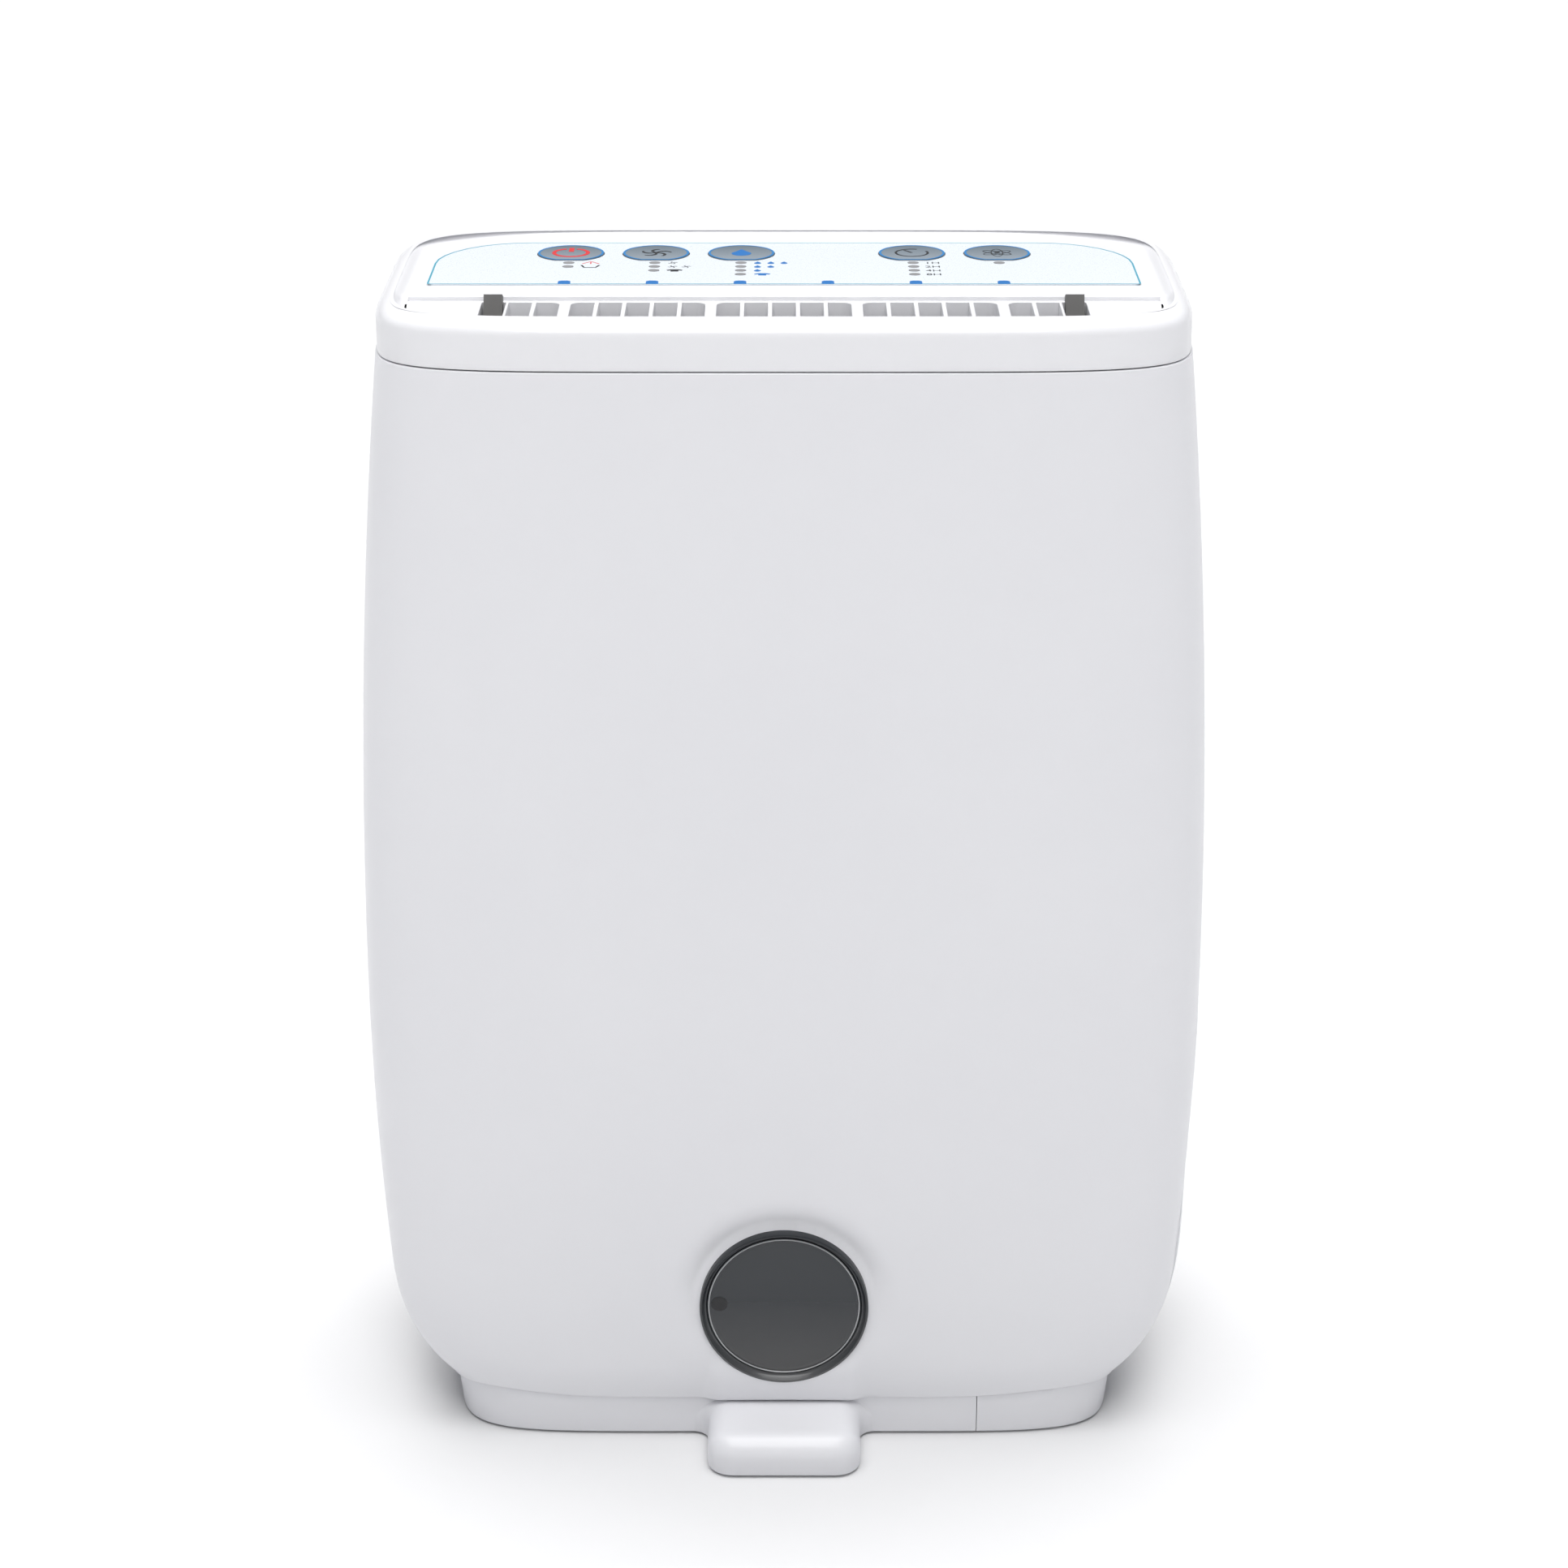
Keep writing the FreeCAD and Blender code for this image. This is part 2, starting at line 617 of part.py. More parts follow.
def button(name):
    x = button_x(name)
    cap = button_plan(x, BUTTON_TOP_Z - BUTTON_CAP, BUTTON_TOP_Z, 0.0)
    top_edges = [e for e in cap.Edges if abs(e.BoundBox.ZMin - BUTTON_TOP_Z) < 1e-6]
    cap = cap.makeFillet(0.5, top_edges)
    stem = rod_z(x, BUTTON_Y, BUTTON_STEM_RADIUS, STEM_LOW_Z, BUTTON_TOP_Z - BUTTON_CAP)
    return cap.fuse(stem)


def indicator_lights():
    low = BOARD_Z + BOARD_THICK
    high = DECK_Z + OVERLAY_THICK + 0.15
    return Part.makeCompound([rod_z(x, y, LIGHT_RADIUS, low, high) for x, y in light_places()])


def control_board():
    half = abs(BUTTONS["power"]) * BUTTON_PITCH + BUTTON_RADIUS + 6.0
    return block(-half, half, LIGHT_FIRST_Y - 4 * LIGHT_PITCH, BUTTON_Y + 12.0, BOARD_Z, BOARD_Z + BOARD_THICK)


def key_switches():
    solids = []
    for name in BUTTONS:
        x = button_x(name)
        low = BOARD_Z + BOARD_THICK
        body = block(x - 3.0, x + 3.0, BUTTON_Y - 3.0, BUTTON_Y + 3.0, low, low + SWITCH_HEIGHT - 1.0)
        solids.append(body.fuse(rod_z(x, BUTTON_Y, 1.7, low, low + SWITCH_HEIGHT)))
    return Part.makeCompound(solids)


def cell_places():
    """Left edge of every cell of the outlet, group by group."""
    places = []
    x = -grille_half() + SLOT_MARGIN + LEVER_SLOT + SLOT_MARGIN / 2
    for count in GRILLE_GROUPS:
        for i in range(count):
            places.append(x + i * (CELL_WIDTH + CELL_RIB))
        x += count * CELL_WIDTH + (count - 1) * CELL_RIB + GROUP_GAP
    return places


def outlet_grille():
    half = grille_half()
    low = GRILLE_Z - GRILLE_HEIGHT
    grille = block(-half, half, GRILLE_FRONT_Y, GRILLE_REAR_Y, low, GRILLE_Z)
    cuts = []
    for x in cell_places():
        cuts.append(block(x, x + CELL_WIDTH, GRILLE_FRONT_Y + CELL_MARGIN, GRILLE_REAR_Y - CELL_MARGIN,
                          low - 1.0, GRILLE_Z + 1.0))
    for x in (-half + SLOT_MARGIN, half - SLOT_MARGIN - LEVER_SLOT):
        cuts.append(block(x, x + LEVER_SLOT, GRILLE_FRONT_Y + CELL_MARGIN, GRILLE_REAR_Y - CELL_MARGIN,
                          low - 1.0, GRILLE_Z + 1.0))
    return grille.cut(cuts)


DUCT_TOP_Z = GRILLE_Z - GRILLE_HEIGHT
DUCT_LOW_Z = DUCT_TOP_Z - DUCT_HEIGHT
DUCT_HALF = grille_half() + DUCT_WALL
LOUVRE_Y = (GRILLE_FRONT_Y + GRILLE_REAR_Y) / 2 + LOUVRE_SETBACK
LOUVRE_Z = GRILLE_Z - LOUVRE_DROP


def lever_x():
    return grille_half() - SLOT_MARGIN - LEVER_SLOT / 2


def scroll_half():
    return FAN_RADIUS + SCROLL_GAP


def outlet_duct():
    front = GRILLE_FRONT_Y - DUCT_WALL
    rear = GRILLE_REAR_Y + DUCT_WALL
    duct = block(-DUCT_HALF, DUCT_HALF, front, rear, DUCT_LOW_Z, DUCT_TOP_Z)
    room = block(-DUCT_HALF + DUCT_WALL, DUCT_HALF - DUCT_WALL, GRILLE_FRONT_Y, GRILLE_REAR_Y,
                 DUCT_LOW_Z + DUCT_WALL, DUCT_TOP_Z + 1.0)
    throat = block(-scroll_half() + DUCT_WALL, scroll_half() - DUCT_WALL, GRILLE_FRONT_Y, GRILLE_REAR_Y,
                   DUCT_LOW_Z - 1.0, DUCT_TOP_Z)
    bore = rod_x(LOUVRE_Y, LOUVRE_Z, PIN_RADIUS + RUN_FIT, -FAR, FAR)
    return duct.cut(room).cut(throat).cut(bore)


def lean(shape):
    return shape.rotated(Vector(0, LOUVRE_Y, LOUVRE_Z), Vector(1, 0, 0), -LEVER_LEAN)


def louvre_blade():
    half = lever_x() - LEVER_THICK / 2
    low = LOUVRE_Z - LOUVRE_CHORD / 2
    blade = block(-half, half, LOUVRE_Y - LOUVRE_THICK / 2, LOUVRE_Y + LOUVRE_THICK / 2, low,
                  LOUVRE_Z + LOUVRE_CHORD / 2 - 2.0)
    spine = rod_x(LOUVRE_Y, LOUVRE_Z, PIN_RADIUS, -half, half)
    return lean(blade.fuse(spine))


def louvre_levers():
    solids = []
    for side in (-1.0, 1.0):
        centre = side * lever_x()
        x0 = centre - LEVER_THICK / 2
        x1 = centre + LEVER_THICK / 2
        tab = block(x0, x1, LOUVRE_Y - LEVER_LENGTH / 2, LOUVRE_Y + LEVER_LENGTH / 2,
                    LOUVRE_Z - LEVER_LENGTH / 2, GRILLE_Z + LEVER_PROUD)
        end = side * (DUCT_HALF + 1.0)
        pin = rod_x(LOUVRE_Y, LOUVRE_Z, PIN_RADIUS, min(centre, end), max(centre, end))
        solids.append(lean(tab.fuse(pin)))
    return Part.makeCompound(solids)


SCROLL_FRONT_Y = GRILLE_FRONT_Y - DUCT_WALL
SCROLL_REAR_Y = SCROLL_FRONT_Y + SCROLL_DEPTH
FAN_FRONT_Y = SCROLL_FRONT_Y + DUCT_WALL + 3.0
FAN_REAR_Y = FAN_FRONT_Y + FAN_DEPTH
FAN_DISC_Y = FAN_FRONT_Y + FAN_DEPTH / 2
PARTITION_TOP_Z = ROTOR_Z + PARTITION_RISE


def scroll_form(wall):
    radius = scroll_half() - wall
    round_part = rod_y(0, ROTOR_Z, radius, SCROLL_FRONT_Y + wall, SCROLL_REAR_Y - wall)
    top = DUCT_LOW_Z + (1.0 if wall else 0.0)
    throat = block(-radius, radius, SCROLL_FRONT_Y + wall, SCROLL_REAR_Y - wall, ROTOR_Z, top)
    return round_part.fuse(throat)


def fan_scroll():
    shell = scroll_form(0.0).cut(scroll_form(DUCT_WALL))
    shell = shell.cut(rod_y(0, ROTOR_Z, FAN_INLET_RADIUS, SCROLL_REAR_Y - DUCT_WALL - 1.0, SCROLL_REAR_Y + 1.0))
    reach = scroll_half() - 9.0
    posts = []
    for x in (-reach, reach):
        for z in (ROTOR_Z + 10.0, DUCT_LOW_Z - 10.0):
            posts.append(rod_y(x, z, 4.5, SCROLL_REAR_Y - DUCT_WALL, PARTITION_Y))
    return join([shell] + posts)


def fan_wheel(x, z, radius, blade_depth, y0, y1, disc_y, bore, count):
    """A centrifugal wheel: hub, disc, forward-leaning blades and two end rings."""
    inner = radius - blade_depth
    disc = ring_y(x, z, radius - 0.5, bore + RUN_FIT, disc_y, disc_y + 2.0)
    hub = ring_y(x, z, bore + 6.0, bore + RUN_FIT, disc_y, y1 - 4.0)
    rims = [ring_y(x, z, radius, inner, y0, y0 + 1.6), ring_y(x, z, radius, inner, y1 - 1.6, y1)]
    blades = []
    for i in range(count):
        angle = 360.0 * i / count
        blade = block(x + inner + 0.5, x + radius - 0.5, y0, y1, z - 0.6, z + 0.6)
        blade.rotate(Vector(x + inner, 0, z), Vector(0, 1, 0), 18.0)
        blade.rotate(Vector(x, 0, z), Vector(0, 1, 0), angle)
        blades.append(blade.common(rod_y(x, z, radius, y0, y1)))
    return join([disc, hub] + rims + blades)


def fan_motor():
    face = SCROLL_FRONT_Y + DUCT_WALL
    motor = rod_y(0, ROTOR_Z, MOTOR_RADIUS, face, FAN_DISC_Y - 3.0)
    return motor.cut(rod_y(0, ROTOR_Z, SHAFT_RADIUS + RUN_FIT, face + 4.0, FAN_DISC_Y))


def fan_shaft():
    return rod_y(0, ROTOR_Z, SHAFT_RADIUS, SCROLL_FRONT_Y + DUCT_WALL + 5.0, FAN_REAR_Y - 3.0)


RIM_PITCH_RADIUS = GEAR_MODULE * RIM_TEETH / 2.0
PINION_PITCH_RADIUS = GEAR_MODULE * PINION_TEETH / 2.0
ROTOR_REAR_Y = ROTOR_FRONT_Y + ROTOR_THICK
GEAR_Y = ROTOR_FRONT_Y + (ROTOR_THICK - GEAR_FACE) / 2
FRAME_RADIUS = RIM_PITCH_RADIUS + GEAR_MODULE + 2.0
SPIDER_Y = ROTOR_REAR_Y + 4.0
PLATE = 3.0


def toothed_disc(x, z, teeth, phase, y0, y1):
    """A spur gear blank with straight-sided teeth, slim enough to run with backlash."""
    pitch = GEAR_MODULE * teeth / 2.0
    root = pitch - 1.2 * GEAR_MODULE
    tip = pitch + 0.8 * GEAR_MODULE
    step = 2.0 * math.pi / teeth
    points = []
    for i in range(teeth):
        middle = phase + i * step
        for radius, share in ((root, -0.24), (tip, -0.10), (tip, 0.10), (root, 0.24)):
            angle = middle + share * step
            points.append(Vector(x + radius * math.cos(angle), y0, z + radius * math.sin(angle)))
    points.append(points[0])
    return Part.Face(Part.makePolygon(points)).extrude(Vector(0, y1 - y0, 0))


def pinion_place():
    reach = RIM_PITCH_RADIUS + PINION_PITCH_RADIUS
    angle = math.radians(PINION_ANGLE)
    return reach * math.cos(angle), ROTOR_Z + reach * math.sin(angle)


def rotor_rim_gear():
    gear = toothed_disc(0, ROTOR_Z, RIM_TEETH, math.radians(PINION_ANGLE), GEAR_Y, GEAR_Y + GEAR_FACE)
    return gear.cut(rod_y(0, ROTOR_Z, ROTOR_RADIUS, 0, FAR))


def desiccant_rotor():
    return ring_y(0, ROTOR_Z, ROTOR_RADIUS, HUB_RADIUS, ROTOR_FRONT_Y, ROTOR_REAR_Y)


def rotor_hub():
    return ring_y(0, ROTOR_Z, HUB_RADIUS, AXLE_RADIUS + RUN_FIT, ROTOR_FRONT_Y - 2.0, ROTOR_REAR_Y + 2.0)


def rotor_axle():
    return rod_y(0, ROTOR_Z, AXLE_RADIUS, PARTITION_Y, SPIDER_Y + PLATE)


def rotor_pinion():
    x, z = pinion_place()
    back = math.radians(PINION_ANGLE) + math.pi
    phase = back + math.pi / PINION_TEETH
    gear = toothed_disc(x, z, PINION_TEETH, phase, GEAR_Y, GEAR_Y + GEAR_FACE)
    return gear.fuse(rod_y(x, z, AXLE_RADIUS / 2, GEAR_Y, SPIDER_Y + PLATE + 6.0))


def spokes(y0, y1):
    """Three arms and a centre that carry the rotor's axle."""
    arms = [rod_y(0, ROTOR_Z, AXLE_RADIUS + 4.0, y0, y1)]
    for turn in (30.0, 150.0, 270.0):
        arm = block(0, FRAME_RADIUS + 1.0, y0, y1, ROTOR_Z - SPIDER_ARM / 2, ROTOR_Z + SPIDER_ARM / 2)
        arm.rotate(Vector(0, 0, ROTOR_Z), Vector(0, -1, 0), turn)
        arms.append(arm)
    return join(arms).cut(rod_y(0, ROTOR_Z, AXLE_RADIUS + RUN_FIT, y0 - 1.0, y1 + 1.0))


def partition_plate():
    half = PARTITION_WIDTH / 2
    plate = block(-half, half, PARTITION_Y, PARTITION_Y + PLATE, SHELF_TOP_Z, PARTITION_TOP_Z)
    plate = plate.cut(rod_y(0, ROTOR_Z, ROTOR_RADIUS - 5.0, 0, FAR))
    board_posts = []
    for z in (ROTOR_Z - 110.0, ROTOR_Z):
        board_posts.append(block(-half - 10.0, -half, PARTITION_Y, PARTITION_Y + PLATE, z - 4.0, z + 4.0))
    return join([plate, spokes(PARTITION_Y, PARTITION_Y + PLATE)] + board_posts)


def rotor_frame():
    ring = ring_y(0, ROTOR_Z, FRAME_RADIUS + FRAME_WALL, FRAME_RADIUS, PARTITION_Y + PLATE, SPIDER_Y)
    x, z = pinion_place()
    notch = rod_y(x, z, PINION_PITCH_RADIUS + GEAR_MODULE + 2.0, 0, FAR)
    return ring.cut(notch)


def rotor_spider():
    ring = ring_y(0, ROTOR_Z, FRAME_RADIUS + FRAME_WALL, FRAME_RADIUS - 3.0, SPIDER_Y, SPIDER_Y + PLATE)
    x, z = pinion_place()
    ear = rod_y(x, z, MOTOR_RADIUS - 4.0, SPIDER_Y, SPIDER_Y + PLATE).cut(
        rod_y(0, ROTOR_Z, FRAME_RADIUS - 3.0, 0, FAR))
    spider = join([ring, spokes(SPIDER_Y, SPIDER_Y + PLATE), ear])
    return spider.cut(rod_y(x, z, AXLE_RADIUS / 2 + RUN_FIT, 0, FAR))


def rotor_gear_motor():
    x, z = pinion_place()
    low = SPIDER_Y + PLATE
    can = rod_y(x, z, MOTOR_RADIUS - 5.0, low, low + 13.0)
    return can.cut(rod_y(x, z, AXLE_RADIUS / 2 + RUN_FIT, 0, low + 7.0))


def sector(inner, outer, y0, y1, span):
    """A ring slice, centred on straight up from the rotor's axis."""
    solid = Part.makeCylinder(outer, y1 - y0, Vector(0, y0, ROTOR_Z), Vector(0, 1, 0), span)
    solid.rotate(Vector(0, 0, ROTOR_Z), Vector(0, 1, 0), -span / 2 - sector_zero())
    return solid.cut(rod_y(0, ROTOR_Z, inner, y0 - 1.0, y1 + 1.0))


def sector_zero():
    """Turn that brings the start of a sliced cylinder to straight up."""
    sample = Part.makeCylinder(1.0, 1.0, Vector(0, 0, 0), Vector(0, 1, 0), 1.0)
    centre = sample.CenterOfMass
    return math.degrees(math.atan2(centre.x, centre.z)) - 0.5


def heater_box():
    y0 = ROTOR_REAR_Y + 1.5
    y1 = y0 + HEATER_DEPTH
    inner = HUB_RADIUS + 8.0
    outer = ROTOR_RADIUS - 4.0
    room = sector(inner + SHEET, outer - SHEET, y0 - 1.0, y1 - SHEET, HEATER_SPAN - 4.0)
    tab = block(-8.0, 8.0, SPIDER_Y, SPIDER_Y + PLATE, ROTOR_Z + outer - 2.0, ROTOR_Z + FRAME_RADIUS)
    tab = tab.common(rod_y(0, ROTOR_Z, FRAME_RADIUS - 3.0, 0, FAR))
    return sector(inner, outer, y0, y1, HEATER_SPAN).cut(room).fuse(tab)


def heater_element():
    """Flat resistance ribbons across the heater box, held at both ends by mica strips."""
    y0 = ROTOR_REAR_Y + 8.0
    outer = ROTOR_RADIUS - 4.0 - SHEET
    inner = HUB_RADIUS + 8.0 + SHEET
    strips = [block(-1.0, 1.0, y0, y0 + 5.0, ROTOR_Z + inner, ROTOR_Z + outer)]
    radius = inner + 8.0
    while radius < outer - 6.0:
        strips.append(sector(radius, radius + 1.0, y0, y0 + 5.0, HEATER_SPAN - 8.0))
        radius += 9.0
    return join(strips)


def regen_housing():
    y0 = PARTITION_Y + PLATE
    y1 = y0 + 34.0
    outer = REGEN_RADIUS + 6.0
    can = rod_y(REGEN_X, REGEN_Z, outer, y0, y1).cut(
        rod_y(REGEN_X, REGEN_Z, outer - SHEET, y0 + SHEET, y1 - SHEET))
    return can.cut(rod_y(REGEN_X, REGEN_Z, REGEN_RADIUS / 2, y1 - SHEET - 1.0, y1 + 1.0))


def regen_motor():
    y0 = PARTITION_Y + PLATE + SHEET
    can = rod_y(REGEN_X, REGEN_Z, REGEN_RADIUS / 2 - 2.0, y0, y0 + 12.0)
    return can.cut(rod_y(REGEN_X, REGEN_Z, 2.0 + RUN_FIT, y0 + 4.0, FAR))


def regen_wheel():
    y0 = PARTITION_Y + PLATE + SHEET + 3.0
    y1 = y0 + 25.0
    wheel = fan_wheel(REGEN_X, REGEN_Z, REGEN_RADIUS, 8.0, y0, y1, y0 + 12.0, 1.5, REGEN_BLADES)
    shaft = rod_y(REGEN_X, REGEN_Z, 2.0, y0 + 2.0, y0 + 20.0)
    return wheel.fuse(shaft)


CONDENSER_Y = SPIDER_Y + PLATE + 15.0
SHELF_Z = TANK_TOP_Z + LID_THICK + SHELF_GAP
SHELF_TOP_Z = SHELF_Z + PLATE
TRAY_Z = INLET_BOTTOM_Z - 24.0
TRAY_TOP_Z = TRAY_Z + TRAY_HEIGHT
CONDENSER_TOP_Z = INLET_TOP_Z + 13.0


def condenser():
    half = CONDENSER_WIDTH / 2
    rear = CONDENSER_Y + CONDENSER_DEPTH
    low = block(-half, half, CONDENSER_Y, rear, TRAY_TOP_Z, TRAY_TOP_Z + HEADER_HEIGHT)
    high = block(-half, half, CONDENSER_Y, rear, CONDENSER_TOP_Z - HEADER_HEIGHT, CONDENSER_TOP_Z)
    middle = CONDENSER_Y + CONDENSER_DEPTH / 2
    pitch = (CONDENSER_WIDTH - 4 * TUBE_RADIUS) / (CONDENSER_TUBES - 1)
    solids = [low, high]
    for i in range(CONDENSER_TUBES):
        x = -half + 2 * TUBE_RADIUS + i * pitch
        solids.append(rod_z(x, middle, TUBE_RADIUS, TRAY_TOP_Z + 1.0, CONDENSER_TOP_Z - 1.0))
    return join(solids)


def drip_tray():
    half = CONDENSER_WIDTH / 2
    rear = CONDENSER_Y + CONDENSER_DEPTH + 3.0
    front = rear - TRAY_REACH
    tray = block(-half, half, front, rear, TRAY_Z, TRAY_TOP_Z)
    room = block(-half + DUCT_WALL, half - DUCT_WALL, front + DUCT_WALL, rear - DUCT_WALL,
                 TRAY_Z + DUCT_WALL, TRAY_TOP_Z + 1.0)
    spout = rod_z(0, SPOUT_Y, SPOUT_RADIUS, SHELF_Z - 1.0, TRAY_Z + 1.0)
    legs = []
    for x in (-half + 10.0, half - 10.0):
        legs.append(block(x - 3.0, x + 3.0, front + 4.0, rear - 4.0, SHELF_TOP_Z, TRAY_Z + 1.0))
    bore = rod_z(0, SPOUT_Y, SPOUT_RADIUS - SHEET, SHELF_Z - 2.0, TRAY_Z + DUCT_WALL + 1.0)
    return join([tray.cut(room), spout] + legs).cut(bore)


def tank_bay_liner():
    """Shelf over the tank with a rear and an end wall, standing on the base."""
    left = TANK_LEFT_X - 3.0 - DUCT_WALL
    rear = TANK_REAR_Y + 3.0
    half = PARTITION_WIDTH / 2
    shelf = block(-half, half, FRONT_Y + 11.0, rear + 12.0, SHELF_Z, SHELF_TOP_Z)
    back = block(left, half - 20.0, rear, rear + DUCT_WALL, BASE_TOP_Z, SHELF_Z)
    end = block(left, left + DUCT_WALL, TANK_FRONT_Y, rear + DUCT_WALL, BASE_TOP_Z, SHELF_Z)
    return join([shelf, back, end]).cut(rod_z(0, SPOUT_Y, SPOUT_RADIUS + RUN_FIT, 0, FAR))


def inlet_grille():
    plate = SHELL.common(inlet_space(0.0))
    half = INLET_WIDTH / 2
    columns = 4
    bay = (INLET_WIDTH - 16.0) / columns
    cuts = []
    z = INLET_BOTTOM_Z + 10.0
    while z + SLAT_GAP < INLET_TOP_Z - 8.0:
        for i in range(columns):
            x = -half + 8.0 + i * bay
            cuts.append(block(x + 1.5, x + bay - 1.5, 0, FAR, z, z + SLAT_GAP))
        z += SLAT_PITCH
    plate = plate.cut(cuts)
    posts = []
    for x in (-half + 4.0, half - 4.0):
        for z in (INLET_BOTTOM_Z + 5.0, INLET_TOP_Z - 5.0):
            post = rod_y(x, z, 2.0, FILTER_Y + FILTER_DEPTH, BACK_Y)
            posts.append(post.common(BODY))
    return join([plate] + posts)


FILTER_Y = BACK_Y - 12.0


def filter_frame():
    half = INLET_WIDTH / 2 - 1.0
    low = INLET_BOTTOM_Z + 1.0
    high = INLET_TOP_Z - 1.0
    frame = block(-half, half, FILTER_Y, FILTER_Y + FILTER_DEPTH, low, high)
    bays = 3
    bay = (2 * half - FILTER_BAR) / bays
    for i in range(bays):
        x = -half + FILTER_BAR + i * bay
        frame = frame.cut(block(x, x + bay - FILTER_BAR, 0, FAR, low + FILTER_BAR, high - FILTER_BAR))
    return frame


def filter_mesh():
    half = INLET_WIDTH / 2 - 1.0
    low = INLET_BOTTOM_Z + 1.0
    high = INLET_TOP_Z - 1.0
    return block(-half + 2.0, half - 2.0, FILTER_Y - MESH_THICK, FILTER_Y, low + 2.0, high - 2.0)


TANK_LOW_Z = BASE_TOP_Z + MOVE_GAP
FLOAT_X = -60.0
FLOAT_PIN_Y = TANK_REAR_Y - 8.0
FLOAT_PIN_Z = TANK_TOP_Z - 14.0


def float_bosses():
    solids = []
    for x in (FLOAT_X - 9.0, FLOAT_X + 5.0):
        solids.append(block(x, x + 4.0, FLOAT_PIN_Y - 3.0, TANK_REAR_Y - TANK_WALL, FLOAT_PIN_Z - 3.0,
                            FLOAT_PIN_Z + 3.0))
    return solids


def tank_body():
    tub = block(TANK_LEFT_X, TANK_RIGHT_X, TANK_FRONT_Y, TANK_REAR_Y, TANK_LOW_Z, TANK_TOP_Z)
    upright = [e for e in tub.Edges if is_upright(e)]
    tub = tub.makeFillet(TANK_CORNER, upright)
    room = block(TANK_LEFT_X + TANK_WALL, TANK_RIGHT_X - TANK_WALL, TANK_FRONT_Y + TANK_WALL,
                 TANK_REAR_Y - TANK_WALL, TANK_LOW_Z + TANK_WALL, TANK_TOP_Z + 1.0)
    room = room.makeFillet(TANK_CORNER - TANK_WALL, [e for e in room.Edges if is_upright(e)])
    tub = join([tub.cut(room)] + float_bosses())
    return tub.cut(rod_x(FLOAT_PIN_Y, FLOAT_PIN_Z, FLOAT_PIN_RADIUS + RUN_FIT, FLOAT_X - 20.0, FLOAT_X + 20.0))


def tank_lid():
    lid = block(TANK_LEFT_X, TANK_RIGHT_X, TANK_FRONT_Y, TANK_REAR_Y, TANK_TOP_Z, TANK_TOP_Z + LID_THICK)
    lid = lid.makeFillet(TANK_CORNER, [e for e in lid.Edges if is_upright(e)])
    drip = rod_z(0, SPOUT_Y, SPOUT_RADIUS + 3.0, 0, FAR)
    pour = rod_z(TANK_RIGHT_X - 30.0, (TANK_FRONT_Y + TANK_REAR_Y) / 2, 16.0, 0, FAR)
    return lid.cut(drip).cut(pour)


def tank_face():
    skin = SHELL.common(tank_mouth(MOVE_GAP, BASE_TOP_Z + MOVE_GAP))
    middle = (TANK_FRONT_Y + TANK_REAR_Y) / 2
    sleeve = block(TANK_RIGHT_X, FAR, TANK_FRONT_Y + 4.0, TANK_REAR_Y - 4.0, BASE_TOP_Z + 8.0,
                   TANK_TOP_Z - 6.0)
    hollow = block(TANK_RIGHT_X + TANK_WALL, FAR, TANK_FRONT_Y + 6.0, TANK_REAR_Y - 6.0, BASE_TOP_Z + 10.0,
                   TANK_TOP_Z - 8.0)
    grip_x = body_half_width(GRIP_Z) - GRIP_DEPTH
    cup = block(grip_x - TANK_WALL, FAR, middle - GRIP_WIDTH / 2 - TANK_WALL,
                middle + GRIP_WIDTH / 2 + TANK_WALL, GRIP_Z - GRIP_HEIGHT / 2 - TANK_WALL, GRIP_Z + GRIP_HEIGHT / 2 + TANK_WALL)
    hand = block(grip_x, FAR, middle - GRIP_WIDTH / 2, middle + GRIP_WIDTH / 2,
                 GRIP_Z - GRIP_HEIGHT / 2, GRIP_Z + GRIP_HEIGHT / 2)
    ribs = sleeve.common(CAVITY).cut(hollow)
    return join([skin, ribs, cup.common(BODY)]).cut(hand)


def float_pin():
    return rod_x(FLOAT_PIN_Y, FLOAT_PIN_Z, FLOAT_PIN_RADIUS, FLOAT_X - 9.0, FLOAT_X + 9.0)


def tank_float():
    arm_end = FLOAT_PIN_Y - 30.0
    eye = rod_x(FLOAT_PIN_Y, FLOAT_PIN_Z, 3.2, FLOAT_X - 4.0, FLOAT_X + 4.0)
    arm = block(FLOAT_X - 2.0, FLOAT_X + 2.0, arm_end, FLOAT_PIN_Y, FLOAT_PIN_Z - 2.0, FLOAT_PIN_Z + 2.0)
    arm.rotate(Vector(0, FLOAT_PIN_Y, FLOAT_PIN_Z), Vector(1, 0, 0), 32.0)
    block_part = block(FLOAT_X - 24.0, FLOAT_X + 24.0, FLOAT_PIN_Y - 44.0, FLOAT_PIN_Y - 16.0,
                       FLOAT_PIN_Z - 30.0, FLOAT_PIN_Z - 14.0)
    block_part = block_part.makeFillet(3.0, block_part.Edges)
    pocket = rod_x(FLOAT_PIN_Y - 20.0, FLOAT_PIN_Z - 22.0, 3.0, FLOAT_X - 6.0, FLOAT_X + 6.0)
    solid = join([eye, arm, block_part]).cut(pocket)
    return solid.cut(rod_x(FLOAT_PIN_Y, FLOAT_PIN_Z, FLOAT_PIN_RADIUS + RUN_FIT, FLOAT_X - 20, FLOAT_X + 20)), pocket


def float_switch():
    rear = TANK_REAR_Y + 3.0 + DUCT_WALL
    return block(FLOAT_X - 8.0, FLOAT_X + 8.0, rear, rear + 6.0, FLOAT_PIN_Z - 24.0, FLOAT_PIN_Z - 4.0)


